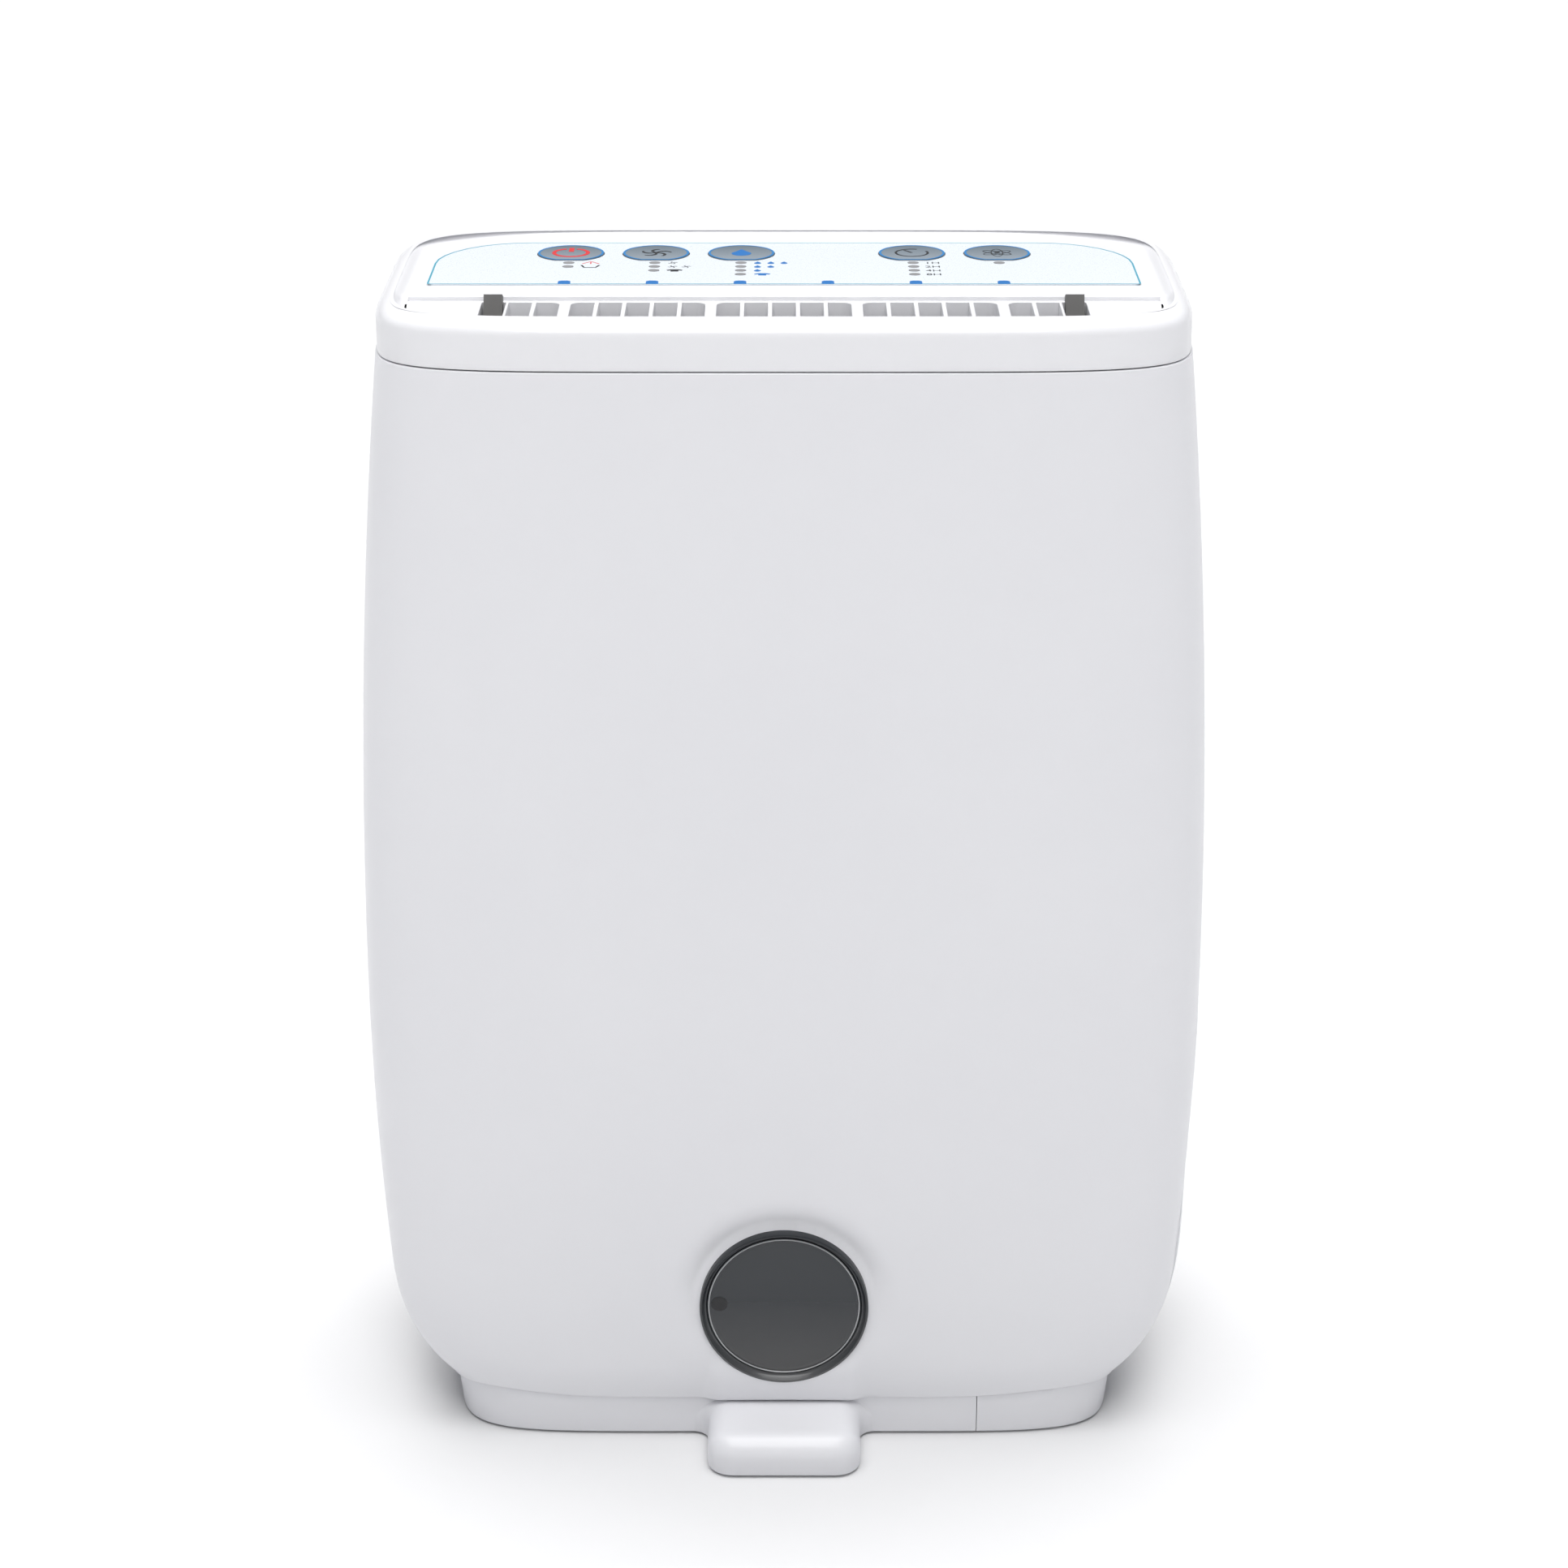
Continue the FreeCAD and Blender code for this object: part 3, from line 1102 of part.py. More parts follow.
def power_board():
    """Mains board on edge beside the partition, on two stand-offs."""
    x = -PARTITION_WIDTH / 2 - 10.0
    board = block(x - BOARD_THICK, x, -20.0, 60.0, ROTOR_Z - 120.0, ROTOR_Z + 20.0)
    low = ROTOR_Z - 110.0
    parts = [rod_x(10.0, low + 20.0, 9.0, x - 14.0 - BOARD_THICK, x - BOARD_THICK)]
    parts.append(block(x - 12.0 - BOARD_THICK, x - BOARD_THICK, 25.0, 50.0, low + 10.0, low + 40.0))
    parts.append(block(x - 8.0 - BOARD_THICK, x - BOARD_THICK, -10.0, 30.0, low + 60.0, low + 70.0))
    return board, Part.makeCompound(parts)


def humidity_sensor():
    half = PARTITION_WIDTH / 2
    low = PARTITION_Y + PLATE
    return block(half - 20.0, half - 6.0, low, low + 9.0, TRAY_TOP_Z + 6.0, TRAY_TOP_Z + 28.0)


def ioniser_module():
    case = block(DUCT_HALF, DUCT_HALF + 12.0, GRILLE_FRONT_Y + 2.0, GRILLE_FRONT_Y + 22.0,
                 DUCT_LOW_Z + 2.0, DUCT_LOW_Z + 26.0)
    return case.cut(rod_x(LOUVRE_Y, LOUVRE_Z, PIN_RADIUS + 2.0, DUCT_HALF - 1.0, DUCT_HALF + 14.0))


def tilt_switch():
    left = -PARTITION_WIDTH / 2 + 8.0
    case = block(left, left + 14.0, FRONT_Y + 18.0, FRONT_Y + 34.0, SHELF_TOP_Z, SHELF_TOP_Z + 14.0)
    return case.makeFillet(1.5, [e for e in case.Edges if is_upright(e)])


def main():
    os.makedirs("parts", exist_ok=True)
    save("front_housing", front_housing())
    save("rear_housing", rear_housing())
    save("handle_cup", handle_cup())
    save("cable_gland", cable_gland())
    save("screws_rear_housing", screws_rear())
    save("base_pedestal", base_pedestal())
    save("base_end_piece", base_end_piece())
    save("rubber_feet", rubber_feet())
    save("window_bezel", window_bezel())
    save("water_window", water_window())
    save("top_cover", top_cover())
    save("control_panel", control_panel())
    for name in BUTTONS:
        save("button_" + name, button(name))
    save("indicator_lights", indicator_lights())
    save("control_board", control_board())
    save("key_switches", key_switches())
    save("outlet_grille", outlet_grille())
    save("outlet_duct", outlet_duct())
    save("louvre_blade", louvre_blade())
    save("louvre_levers", louvre_levers())
    save("fan_scroll", fan_scroll())
    save("fan_impeller", fan_wheel(0, ROTOR_Z, FAN_RADIUS, FAN_BLADE_DEPTH, FAN_FRONT_Y, FAN_REAR_Y,
                                   FAN_DISC_Y, SHAFT_RADIUS, FAN_BLADES))
    save("fan_motor", fan_motor())
    save("fan_shaft", fan_shaft())
    save("partition_plate", partition_plate())
    save("rotor_frame", rotor_frame())
    save("rotor_spider", rotor_spider())
    save("rotor_axle", rotor_axle())
    save("rotor_hub", rotor_hub())
    save("desiccant_rotor", desiccant_rotor())
    save("rotor_rim_gear", rotor_rim_gear())
    save("rotor_pinion", rotor_pinion())
    save("rotor_gear_motor", rotor_gear_motor())
    save("heater_box", heater_box())
    save("heater_element", heater_element())
    save("regen_fan_housing", regen_housing())
    save("regen_fan_motor", regen_motor())
    save("regen_fan_impeller", regen_wheel())
    save("condenser", condenser())
    save("drip_tray", drip_tray())
    save("tank_bay_liner", tank_bay_liner())
    save("inlet_grille", inlet_grille())
    save("filter_frame", filter_frame())
    save("filter_mesh", filter_mesh())
    save("tank_body", tank_body())
    save("tank_lid", tank_lid())
    save("tank_face", tank_face())
    save("float_pin", float_pin())
    floating, magnet = tank_float()
    save("tank_float", floating)
    save("float_magnet", magnet)
    save("float_switch", float_switch())
    board, components = power_board()
    save("power_board", board)
    save("power_board_components", components)
    save("humidity_sensor", humidity_sensor())
    save("ioniser_module", ioniser_module())
    save("tilt_switch", tilt_switch())


main()
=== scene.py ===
import math

import bmesh
import bpy
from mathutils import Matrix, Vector


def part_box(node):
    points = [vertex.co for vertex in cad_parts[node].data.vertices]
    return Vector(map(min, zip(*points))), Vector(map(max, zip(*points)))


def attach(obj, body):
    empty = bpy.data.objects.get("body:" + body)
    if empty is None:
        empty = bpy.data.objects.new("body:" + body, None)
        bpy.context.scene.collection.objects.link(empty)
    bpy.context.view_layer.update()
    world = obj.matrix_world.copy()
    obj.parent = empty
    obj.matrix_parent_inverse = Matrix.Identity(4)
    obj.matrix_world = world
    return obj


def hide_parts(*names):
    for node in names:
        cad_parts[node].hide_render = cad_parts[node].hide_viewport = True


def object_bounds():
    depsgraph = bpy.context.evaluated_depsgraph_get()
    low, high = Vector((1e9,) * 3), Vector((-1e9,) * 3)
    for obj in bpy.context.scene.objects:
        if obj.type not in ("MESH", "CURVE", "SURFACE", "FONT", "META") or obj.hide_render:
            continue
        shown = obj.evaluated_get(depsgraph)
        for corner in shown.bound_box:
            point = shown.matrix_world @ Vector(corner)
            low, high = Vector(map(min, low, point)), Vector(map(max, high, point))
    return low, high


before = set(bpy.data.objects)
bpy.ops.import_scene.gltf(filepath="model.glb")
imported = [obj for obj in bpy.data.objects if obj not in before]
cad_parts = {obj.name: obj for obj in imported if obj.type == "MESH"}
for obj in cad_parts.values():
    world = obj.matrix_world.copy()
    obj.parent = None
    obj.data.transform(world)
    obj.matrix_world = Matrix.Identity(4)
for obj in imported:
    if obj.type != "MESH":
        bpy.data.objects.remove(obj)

CAD_BOX = [list(corner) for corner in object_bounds()]

# Rotor dehumidifier, metres. X right, Y back, Z up. The CAD gives the places; this file gives the looks.

MM = 0.001
LOW = Vector(CAD_BOX[0])
HIGH = Vector(CAD_BOX[1])

TINY = 1e-9

# ---- casing form: the CAD's outline, with a deeper turn-in along the hem ----
MAX_HALF = 175.5 * MM
BACK_Y = 99.0 * MM
FRONT_Y = -67.0 * MM
CENTRE_SHIFT = 1.0 * MM
CENTRE_Y = (FRONT_Y + BACK_Y) / 2 - CENTRE_SHIFT
FRONT_HALF = CENTRE_Y - FRONT_Y
REAR_HALF = BACK_Y - CENTRE_Y
FRONT_WALL_Y = CENTRE_Y - FRONT_HALF / 2
PLAN_POWER = 6.0
WIDEST_Z = 194.0 * MM
UPPER_SIDE_RADIUS = 2700.0 * MM
LOWER_SIDE_RADIUS = 1550.0 * MM
LOWER_CORNER_RADIUS = 65.0 * MM
BODY_BOTTOM_Z = 12.0 * MM
FRONT_TUCK = 4.0 * MM
TUCK_RISE = 24.0 * MM
WALL = 2.6 * MM
SPLIT_SETBACK = 5.0 * MM
SPLIT_ANGLE = math.asin(SPLIT_SETBACK / MAX_HALF)
HEM_STAND = 1.0 * MM
HEM_RADIUS = 1.5 * MM
HEM_RETURN = 2.5 * MM
HEM_LIP_DEGREES = (90.0, 60.0, 30.0)
HEM_HIGHEST_Z = 40.0 * MM
HEM_VIEW_Z = 30.0 * MM
HALVINGS = 24
SHELL_THICK = 1.8 * MM
SHELL_COLUMNS = 260
SHELL_LOW_ROWS = 90
SHELL_HIGH_ROWS = 60
LOW_ROW_CROWDING = 1.3
SEAM_HALF = 0.5 * MM
SEAM_EDGE = 0.4 * MM
SEAM_SOFTENING = 0.12 * MM
MOUTH_GAP = 0.35 * MM
MOUTH_FRONT_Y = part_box("tank_face")[0].y - MOUTH_GAP
MOUTH_TOP_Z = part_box("tank_face")[1].z + MOUTH_GAP
MOUTH_VIEW_Z = 100.0 * MM

# ---- base and foot ----
BASE_HALF = 142.5 * MM
BASE_FLARE = 2.5 * MM
BASE_FRONT_INSET = 3.0 * MM
BASE_REAR_INSET = 6.0 * MM
BASE_POWER = 7.0
BASE_TOP_Z = 22.0 * MM
BASE_LOW_Z = 1.0 * MM
BASE_EDGE = 1.2 * MM
BASE_EDGE_STEPS = 4
BASE_TOP_EDGE = 0.4 * MM
BASE_BANDS = (8.0 * MM, 14.0 * MM)
BASE_COLUMNS = 220
SEAM_LEFT_X = 82.85 * MM
SEAM_RIGHT_X = 83.15 * MM
FOOT_HALF = 32.5 * MM
FOOT_TOP_Z = 18.0 * MM
FOOT_ROUND = 9.5 * MM
FOOT_CORNER = 11.0 * MM
FOOT_LEAST_CORNER = 0.6 * MM
FOOT_FLARE = 7.0 * MM
FOOT_SINK = 0.1 * MM
FOOT_ROOT = 1.5 * MM
FOOT_STEPS = 12
FOOT_LOWER_EDGE = ((0.0, 1.0 * MM), (0.3 * MM, 0.3 * MM), (1.0 * MM, 0.0))

# ---- top cover ----
COVER_LAP = 6.0 * MM
COVER_LOW_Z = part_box("top_cover")[0].z + COVER_LAP
CREST_Z = HIGH.z
CREST_RADIUS = 7.0 * MM
CREST_STEPS = 12
COVER_INSET = 0.6 * MM
COVER_COLUMNS = 360
SKIRT_INSET = 3.2 * MM
SKIRT_DEPTH = 5.5 * MM
COVER_BANDS = (4.0 * MM, 8.0 * MM)
RIM_SLOPE = 5.0 * MM
LEDGE_REACH = 0.8 * MM
LEDGE_DEPTH = 3.0 * MM
DECK_DROP = 2.5 * MM
DECK_Z = CREST_Z - DECK_DROP
GRILLE_LOW, GRILLE_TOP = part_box("outlet_grille")
DECK_HALF = 149.4 * MM
DECK_FRONT = 67.0 * MM
DECK_REAR = 73.0 * MM
DECK_POWER = 7.5
DECK_TUCKED = 1.5 * MM
DECK_THICK = 4.6 * MM
DECK_EDGE = 0.9 * MM
DECK_SINK = 0.02 * MM
STEP_Y = -13.5 * MM
STEP_RUN = 4.0 * MM
CELL_GROUPS = (2, 5, 5, 5, 2)
CELL = 9.2 * MM
RIB = 1.74 * MM
GROUP_GAP = 4.5 * MM
LEVER_SLOT = 9.5 * MM
SLOT_MARGIN = 2.2 * MM
CELL_MARGIN = 1.8 * MM
CELL_WIDE_CORNER = 4.2 * MM
CELL_CORNER = 0.5 * MM
CELL_EDGE = 0.35 * MM

# ---- window ----
WINDOW_LOW, WINDOW_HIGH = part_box("window_bezel")
WINDOW_X = (WINDOW_LOW.x + WINDOW_HIGH.x) / 2
WINDOW_Z = (WINDOW_LOW.z + WINDOW_HIGH.z) / 2
BEZEL_RADIUS = (WINDOW_HIGH.x - WINDOW_LOW.x) / 2
LENS_LOW, LENS_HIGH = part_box("water_window")
LENS_RADIUS = (LENS_HIGH.x - LENS_LOW.x) / 2
LENS_GAP = 0.3 * MM
LENS_STEPS = 24
# Painted light: over this height from its lowest edge the lens is coloured paler towards the bottom, a
# painted lightening where light falls on the lower window.
LENS_PAINTED_LIGHT_HEIGHT = 36.0 * MM
# Painted light: over this height from its lowest edge the window rim is coloured paler towards the bottom,
# painted light for its lit lower inner wall.
RIM_PAINTED_LIGHT_HEIGHT = 40.0 * MM
HOLE_RADIUS = BEZEL_RADIUS - 0.15 * MM
HOLE_SLACK = 0.8 * MM
STUD_INSET = 5.6 * MM
STUD_RISE = 1.0 * MM
LINE_INSET = 0.75 * MM
LINE_SINK = 0.1 * MM
LINE_HALF_WIDTH = 0.28 * MM
LINE_PROUD = 0.22 * MM
LINE_STEPS = 8
# Sections turned about the window's axis: steps outward and back, in millimetres.
RIM_OUTER_EDGE = ((0.0, 0.6), (-0.2, 0.15), (-0.6, 0.0), (-1.0, 0.1))
RIM_INNER_EDGE = ((1.0, -0.6), (0.5, -0.1), (0.1, 0.0), (-0.2, 0.4))
LENS_EDGE = ((0.0, 2.0), (0.0, 0.2), (-0.25, -0.05), (-0.8, -0.15), (-1.2, 0.25), (-1.8, 0.45))
LENS_DOME = 0.35 * MM
STUD_SECTION = ((3.4, 0.5), (3.4, 0.22), (3.0, 0.15), (2.0, 0.2), (0.01, 0.2))

# ---- relief of the front: distances outward from the rim, turns as shares of the way up or down ----
DISH_DEPTH = 3.6 * MM
DISH_FROM = -2.0 * MM
DISH_TO = 14.0 * MM
DISH_TURN = (-0.35, 0.75)
LIP_SHARE = 0.75
LIP_FROM = 0.2 * MM
LIP_TO = 3.5 * MM
SWELL = 2.9 * MM
FLARE_FROM = 1.0 * MM
FLARE_TO = 20.0 * MM
FLARE_TURN = (0.15, 0.95)
NECK_FLAT_HALF = 27.0 * MM
NECK_HALF = 37.0 * MM
NECK_FULL_Z = 34.0 * MM
NECK_END_Z = 52.0 * MM

# ---- control panel ----
KEYS = ("power", "fan", "humidity", "timer", "ioniser")
KEY_LIGHTS = {"power": 2, "fan": 3, "humidity": 4, "timer": 4, "ioniser": 1}
KEY_GAP = 0.35 * MM
KEY_PITCH = 35.2 * MM
KEY_RIM_INSET = 0.45 * MM
KEY_RIM = 0.9 * MM
LIGHT_FIRST_Y = 40.0 * MM
LIGHT_PITCH = 6.7 * MM
LIGHT_HALF_WIDTH = 2.3 * MM
LIGHT_HALF_DEPTH = 1.9 * MM
LIGHT_PROUD = 0.2 * MM
LIGHT_THICK = 0.22 * MM
LIGHT_EDGE = 0.08 * MM
PRINT = 0.05 * MM
PANEL_LOW, PANEL_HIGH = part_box("control_panel")
PANEL_TOP = PANEL_HIGH.z + PRINT
OUTLINE_INSET = 0.6 * MM
OUTLINE_REAR_CORNER = 37.4 * MM
OUTLINE_FRONT_CORNER = 1.0 * MM
OUTLINE_WIDTH = 0.7 * MM
TABS = 6
TAB_HALF = 2.5 * MM
TAB_DEPTH = 3.6 * MM
TAB_CORNER = 1.8 * MM
TAB_LAP = 0.2 * MM

# ---- signs on the keys ----
POWER_RADIUS = 7.0 * MM
POWER_LINE = 1.7 * MM
POWER_BAR = (1.6 * MM, 8.6 * MM)
POWER_BAR_WIDTH = 2.2 * MM
FAN_SIGN = 6.6 * MM
FAN_BLADES = 5
DROP_SIGN = 5.4 * MM
CLOCK_RADIUS = 6.6 * MM
CLOCK_LINE = 1.0 * MM
CLOCK_HAND = (-3.0 * MM, 4.6 * MM)
ATOM_LONG = 6.4 * MM
ATOM_SHORT = 2.4 * MM
ATOM_LINE = 0.45 * MM
ATOM_CORE = 1.2 * MM
ORBITS = 3

# ---- marks beside the lights: outlines in millimetres about each mark's middle ----
TANK_MARK_X = 9.0 * MM
FAN_MARK_X = 7.4 * MM
DROP_MARK_X = 6.8 * MM
HOUR_MARK_X = 4.6 * MM
TANK_ROOF = ((-3.4, -1.6), (0.0, 2.4), (3.4, -1.6))
TANK_LINE = ((0.0, -1.6), (0.0, 1.2))
TANK_CUP = ((-3.6, 2.6), (-2.4, -1.4), (2.4, -1.4), (3.6, 2.6))
SHIRT = ((-1.6, -1.8), (1.6, -1.8), (1.6, 0.2), (2.9, -0.4), (3.3, 0.9), (1.6, 1.9), (-1.6, 1.9),
         (-3.3, 0.9), (-2.9, -0.4), (-1.6, 0.2))
THIN_MARK_LINE = 0.6 * MM
THICK_MARK_LINE = 0.9 * MM
FAN_MARK = 2.0 * MM
FAN_MARK_PITCH = 5.6 * MM
FAN_MARK_BLADES = 4
DROP_MARK = 1.9 * MM
DROP_MARK_PITCH = 5.4 * MM
FAN_SHIRT_SHIFT = 1.0 * MM
DRY_SHIRT_SHIFT = 2.0 * MM
HOURS = ("1H", "2H", "4H", "8H")
HOUR_HEIGHT = 4.2 * MM
HOUR_STRETCH = 1.25
HOUR_DROP = 1.5 * MM

# ---- floor, light and camera ----
FLOOR_HALF = 40.0
WORLD_STRENGTH = 0.26
WORLD_PALE_TO = 0.3
WORLD_SHADE_FROM = 0.95
WORLD_SHADE = (0.30, 0.34, 0.43, 1.0)
OVERHEAD_STRENGTH = 3.7
OVERHEAD_SPREAD = 60.0
OVERHEAD_LEAN = -5.0
SOFTBOX_POWER = 13.0
SOFTBOX_SIZE = (0.9, 0.7)
SOFTBOX_PLACE = Vector((0.0, -1.6, 2.0))
SOFTBOX_AIM = Vector((0.0, 0.0, 0.40))
SENSOR_WIDTH = 36.0
LENS_LENGTH = 81.932
CAMERA_PITCH = 21.5
CAMERA_DISTANCE = 1.5004
CAMERA_AIM = Vector((0.0, 0.0, 0.2768))


def link(obj):
    bpy.context.scene.collection.objects.link(obj)
    return obj


# ------------------------------------------------------------------ materials


def surface(name, colour, tint, roughness, spread, grain, relief, metallic=0.0, coat=0.0, specular=0.5,
            mottle=9.0):
    """Moulded or worked surface: slow colour drift, uneven gloss and a fine relief, all in object space."""
    mat = bpy.data.materials.new(name)
    mat.use_nodes = True
    tree = mat.node_tree
    shader = tree.nodes["Principled BSDF"]
    shader.inputs["Metallic"].default_value = metallic
    shader.inputs["Coat Weight"].default_value = coat
    shader.inputs["Coat Roughness"].default_value = 0.12
    shader.inputs["Specular IOR Level"].default_value = specular
    place = tree.nodes.new("ShaderNodeTexCoord")
    drift = tree.nodes.new("ShaderNodeTexNoise")
    drift.inputs["Scale"].default_value = mottle
    drift.inputs["Detail"].default_value = 3.0
    tree.links.new(place.outputs["Object"], drift.inputs["Vector"])
    colours = tree.nodes.new("ShaderNodeValToRGB")
    colours.color_ramp.elements[0].position = 0.3
    colours.color_ramp.elements[0].color = (*tint, 1.0)
    colours.color_ramp.elements[1].position = 0.7
    colours.color_ramp.elements[1].color = (*colour, 1.0)
    tree.links.new(drift.outputs["Fac"], colours.inputs["Fac"])
    tree.links.new(colours.outputs["Color"], shader.inputs["Base Color"])
    fine = tree.nodes.new("ShaderNodeTexNoise")
    fine.inputs["Scale"].default_value = grain
    fine.inputs["Detail"].default_value = 4.0
    tree.links.new(place.outputs["Object"], fine.inputs["Vector"])
    gloss = tree.nodes.new("ShaderNodeMapRange")
    gloss.inputs["To Min"].default_value = max(roughness - spread, 0.02)
    gloss.inputs["To Max"].default_value = min(roughness + spread, 1.0)
    tree.links.new(fine.outputs["Fac"], gloss.inputs["Value"])
    tree.links.new(gloss.outputs["Result"], shader.inputs["Roughness"])
    bump = tree.nodes.new("ShaderNodeBump")
    bump.inputs["Strength"].default_value = 0.35
    bump.inputs["Distance"].default_value = relief
    tree.links.new(fine.outputs["Fac"], bump.inputs["Height"])
    tree.links.new(bump.outputs["Normal"], shader.inputs["Normal"])
    return mat


def graded(name, low_colour, high_colour, axis, start, end, roughness, coat):
    """A surface whose colour runs from one end to the other along an axis of the object."""
    mat = surface(name, high_colour, high_colour, roughness, 0.03, 900.0, 0.00002, coat=coat)
    tree = mat.node_tree
    shader = tree.nodes["Principled BSDF"]
    place = tree.nodes["Texture Coordinate"]
    split = tree.nodes.new("ShaderNodeSeparateXYZ")
    tree.links.new(place.outputs["Object"], split.inputs["Vector"])
    span = tree.nodes.new("ShaderNodeMapRange")
    span.inputs["From Min"].default_value = start
    span.inputs["From Max"].default_value = end
    tree.links.new(split.outputs[axis], span.inputs["Value"])
    ramp = tree.nodes.new("ShaderNodeValToRGB")
    ramp.color_ramp.elements[0].color = (*low_colour, 1.0)
    ramp.color_ramp.elements[1].color = (*high_colour, 1.0)
    tree.links.new(span.outputs["Result"], ramp.inputs["Fac"])
    tree.links.new(ramp.outputs["Color"], shader.inputs["Base Color"])
    return mat


def honeycomb():
    """Corrugated ceramic paper, edge on."""
    mat = surface("desiccant", (0.78, 0.76, 0.70), (0.70, 0.68, 0.62), 0.85, 0.08, 300.0, 0.0002)
    tree = mat.node_tree
    place = tree.nodes["Texture Coordinate"]
    cells = tree.nodes.new("ShaderNodeTexVoronoi")
    cells.inputs["Scale"].default_value = 420.0
    tree.links.new(place.outputs["Object"], cells.inputs["Vector"])
    tree.links.new(cells.outputs["Distance"], tree.nodes["Bump"].inputs["Height"])
    return mat


def mesh_cloth():
    """Fine woven filter mesh: two crossed waves."""
    mat = surface("filter_mesh", (0.05, 0.05, 0.055), (0.03, 0.03, 0.033), 0.8, 0.1, 500.0, 0.0003)
    tree = mat.node_tree
    place = tree.nodes["Texture Coordinate"]
    heights = []
    for direction in ("X", "Z"):
        wave = tree.nodes.new("ShaderNodeTexWave")
        wave.bands_direction = direction
        wave.inputs["Scale"].default_value = 200.0
        tree.links.new(place.outputs["Object"], wave.inputs["Vector"])
        heights.append(wave)
    both = tree.nodes.new("ShaderNodeMath")
    both.operation = "MAXIMUM"
    tree.links.new(heights[0].outputs["Fac"], both.inputs[0])
    tree.links.new(heights[1].outputs["Fac"], both.inputs[1])
    tree.links.new(both.outputs["Value"], tree.nodes["Bump"].inputs["Height"])
    return mat


def make_materials():
    m = {}
    m["white"] = surface("white_shell", (0.80, 0.80, 0.825), (0.785, 0.785, 0.812), 0.34, 0.04, 1400.0,
                         0.000015, coat=0.15)
    m["cover"] = surface("white_cover", (0.83, 0.83, 0.85), (0.815, 0.815, 0.838), 0.30, 0.04, 1400.0,
                         0.000012, coat=0.2)
    m["base"] = surface("white_base", (0.79, 0.79, 0.815), (0.77, 0.77, 0.80), 0.36, 0.05, 1200.0,
                        0.00002, coat=0.1)
    m["film"] = surface("overlay_film", (0.74, 0.785, 0.83), (0.73, 0.775, 0.82), 0.28, 0.03, 2200.0, 0.00001)
    m["outline"] = surface("outline_teal", (0.05, 0.33, 0.45), (0.04, 0.30, 0.42), 0.4, 0.05, 900.0, 0.00001)
    m["blue"] = surface("print_blue", (0.005, 0.16, 0.50), (0.005, 0.15, 0.46), 0.35, 0.05, 900.0, 0.00001)
    m["rim"] = surface("key_rim_blue", (0.01, 0.21, 0.52), (0.01, 0.19, 0.49), 0.35, 0.05, 900.0, 0.00001)
    m["red"] = surface("print_red", (0.66, 0.03, 0.035), (0.62, 0.03, 0.035), 0.4, 0.05, 900.0, 0.00001)
    m["ink"] = surface("print_dark", (0.02, 0.022, 0.027), (0.016, 0.018, 0.022), 0.4, 0.05, 900.0, 0.00001)
    m["dot"] = surface("indicator_grey", (0.28, 0.28, 0.29), (0.25, 0.25, 0.26), 0.3, 0.05, 900.0, 0.00001)
    m["lever"] = surface("lever_grey", (0.135, 0.132, 0.128), (0.12, 0.118, 0.115), 0.5, 0.06, 800.0, 0.00003)
    m["blade"] = surface("louvre_grey", (0.42, 0.42, 0.43), (0.39, 0.39, 0.40), 0.5, 0.06, 800.0, 0.00003)
    m["duct"] = surface("duct_grey", (0.50, 0.50, 0.52), (0.46, 0.46, 0.48), 0.55, 0.06, 600.0, 0.00004)
    m["inner"] = surface("inner_grey", (0.20, 0.205, 0.21), (0.17, 0.175, 0.18), 0.6, 0.08, 500.0, 0.00005)
    m["black"] = surface("black_plastic", (0.018, 0.018, 0.02), (0.014, 0.014, 0.016), 0.5, 0.08, 600.0,
                         0.00004)
    m["steel"] = surface("zinc_steel", (0.55, 0.55, 0.57), (0.47, 0.47, 0.49), 0.35, 0.1, 350.0, 0.00002,
                         metallic=1.0)
    m["tin"] = surface("plated_sheet", (0.66, 0.66, 0.68), (0.58, 0.58, 0.60), 0.4, 0.1, 250.0, 0.00003,
                       metallic=1.0)
    m["tank"] = surface("tank_plastic", (0.55, 0.63, 0.70), (0.52, 0.60, 0.67), 0.25, 0.05, 500.0, 0.00003)
    m["foam"] = surface("float_foam", (0.82, 0.82, 0.80), (0.74, 0.74, 0.72), 0.8, 0.08, 350.0, 0.0003)
    m["nylon"] = surface("gear_nylon", (0.74, 0.72, 0.66), (0.70, 0.68, 0.62), 0.45, 0.06, 500.0, 0.00003)
    m["board"] = surface("board_green", (0.02, 0.12, 0.05), (0.015, 0.09, 0.04), 0.35, 0.06, 240.0, 0.00005)
    m["rubber"] = surface("foot_rubber", (0.03, 0.03, 0.032), (0.022, 0.022, 0.024), 0.8, 0.1, 900.0, 0.0001)
    m["rotor"] = honeycomb()
    m["mesh"] = mesh_cloth()
    # Painted light: the lens is dark smoked at the top and coloured paler towards the bottom; the paler
    # bottom is painted light.
    m["lens"] = graded("smoked_lens_painted_light", (0.065, 0.065, 0.066), (0.013, 0.017, 0.022), "Z",
                       LENS_LOW.z, LENS_LOW.z + LENS_PAINTED_LIGHT_HEIGHT, 0.22, 0.3)
    # Painted light: the window rim is dark smoked at the top and coloured paler towards the bottom; the paler
    # bottom is painted light.
    m["bezel"] = graded("smoked_rim_painted_light", (0.085, 0.087, 0.09), (0.014, 0.017, 0.021), "Z",
                        WINDOW_LOW.z, WINDOW_LOW.z + RIM_PAINTED_LIGHT_HEIGHT, 0.3, 0.2)
    m["ring"] = surface("window_line", (0.50, 0.51, 0.52), (0.34, 0.35, 0.36), 0.18, 0.05, 700.0, 0.00001,
                        coat=0.6, mottle=30.0)
    m["key"] = graded("key_film", (0.28, 0.33, 0.38), (0.11, 0.15, 0.19), "Y",
                      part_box("button_fan")[0].y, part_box("button_fan")[1].y, 0.3, 0.3)
    return m


M = make_materials()

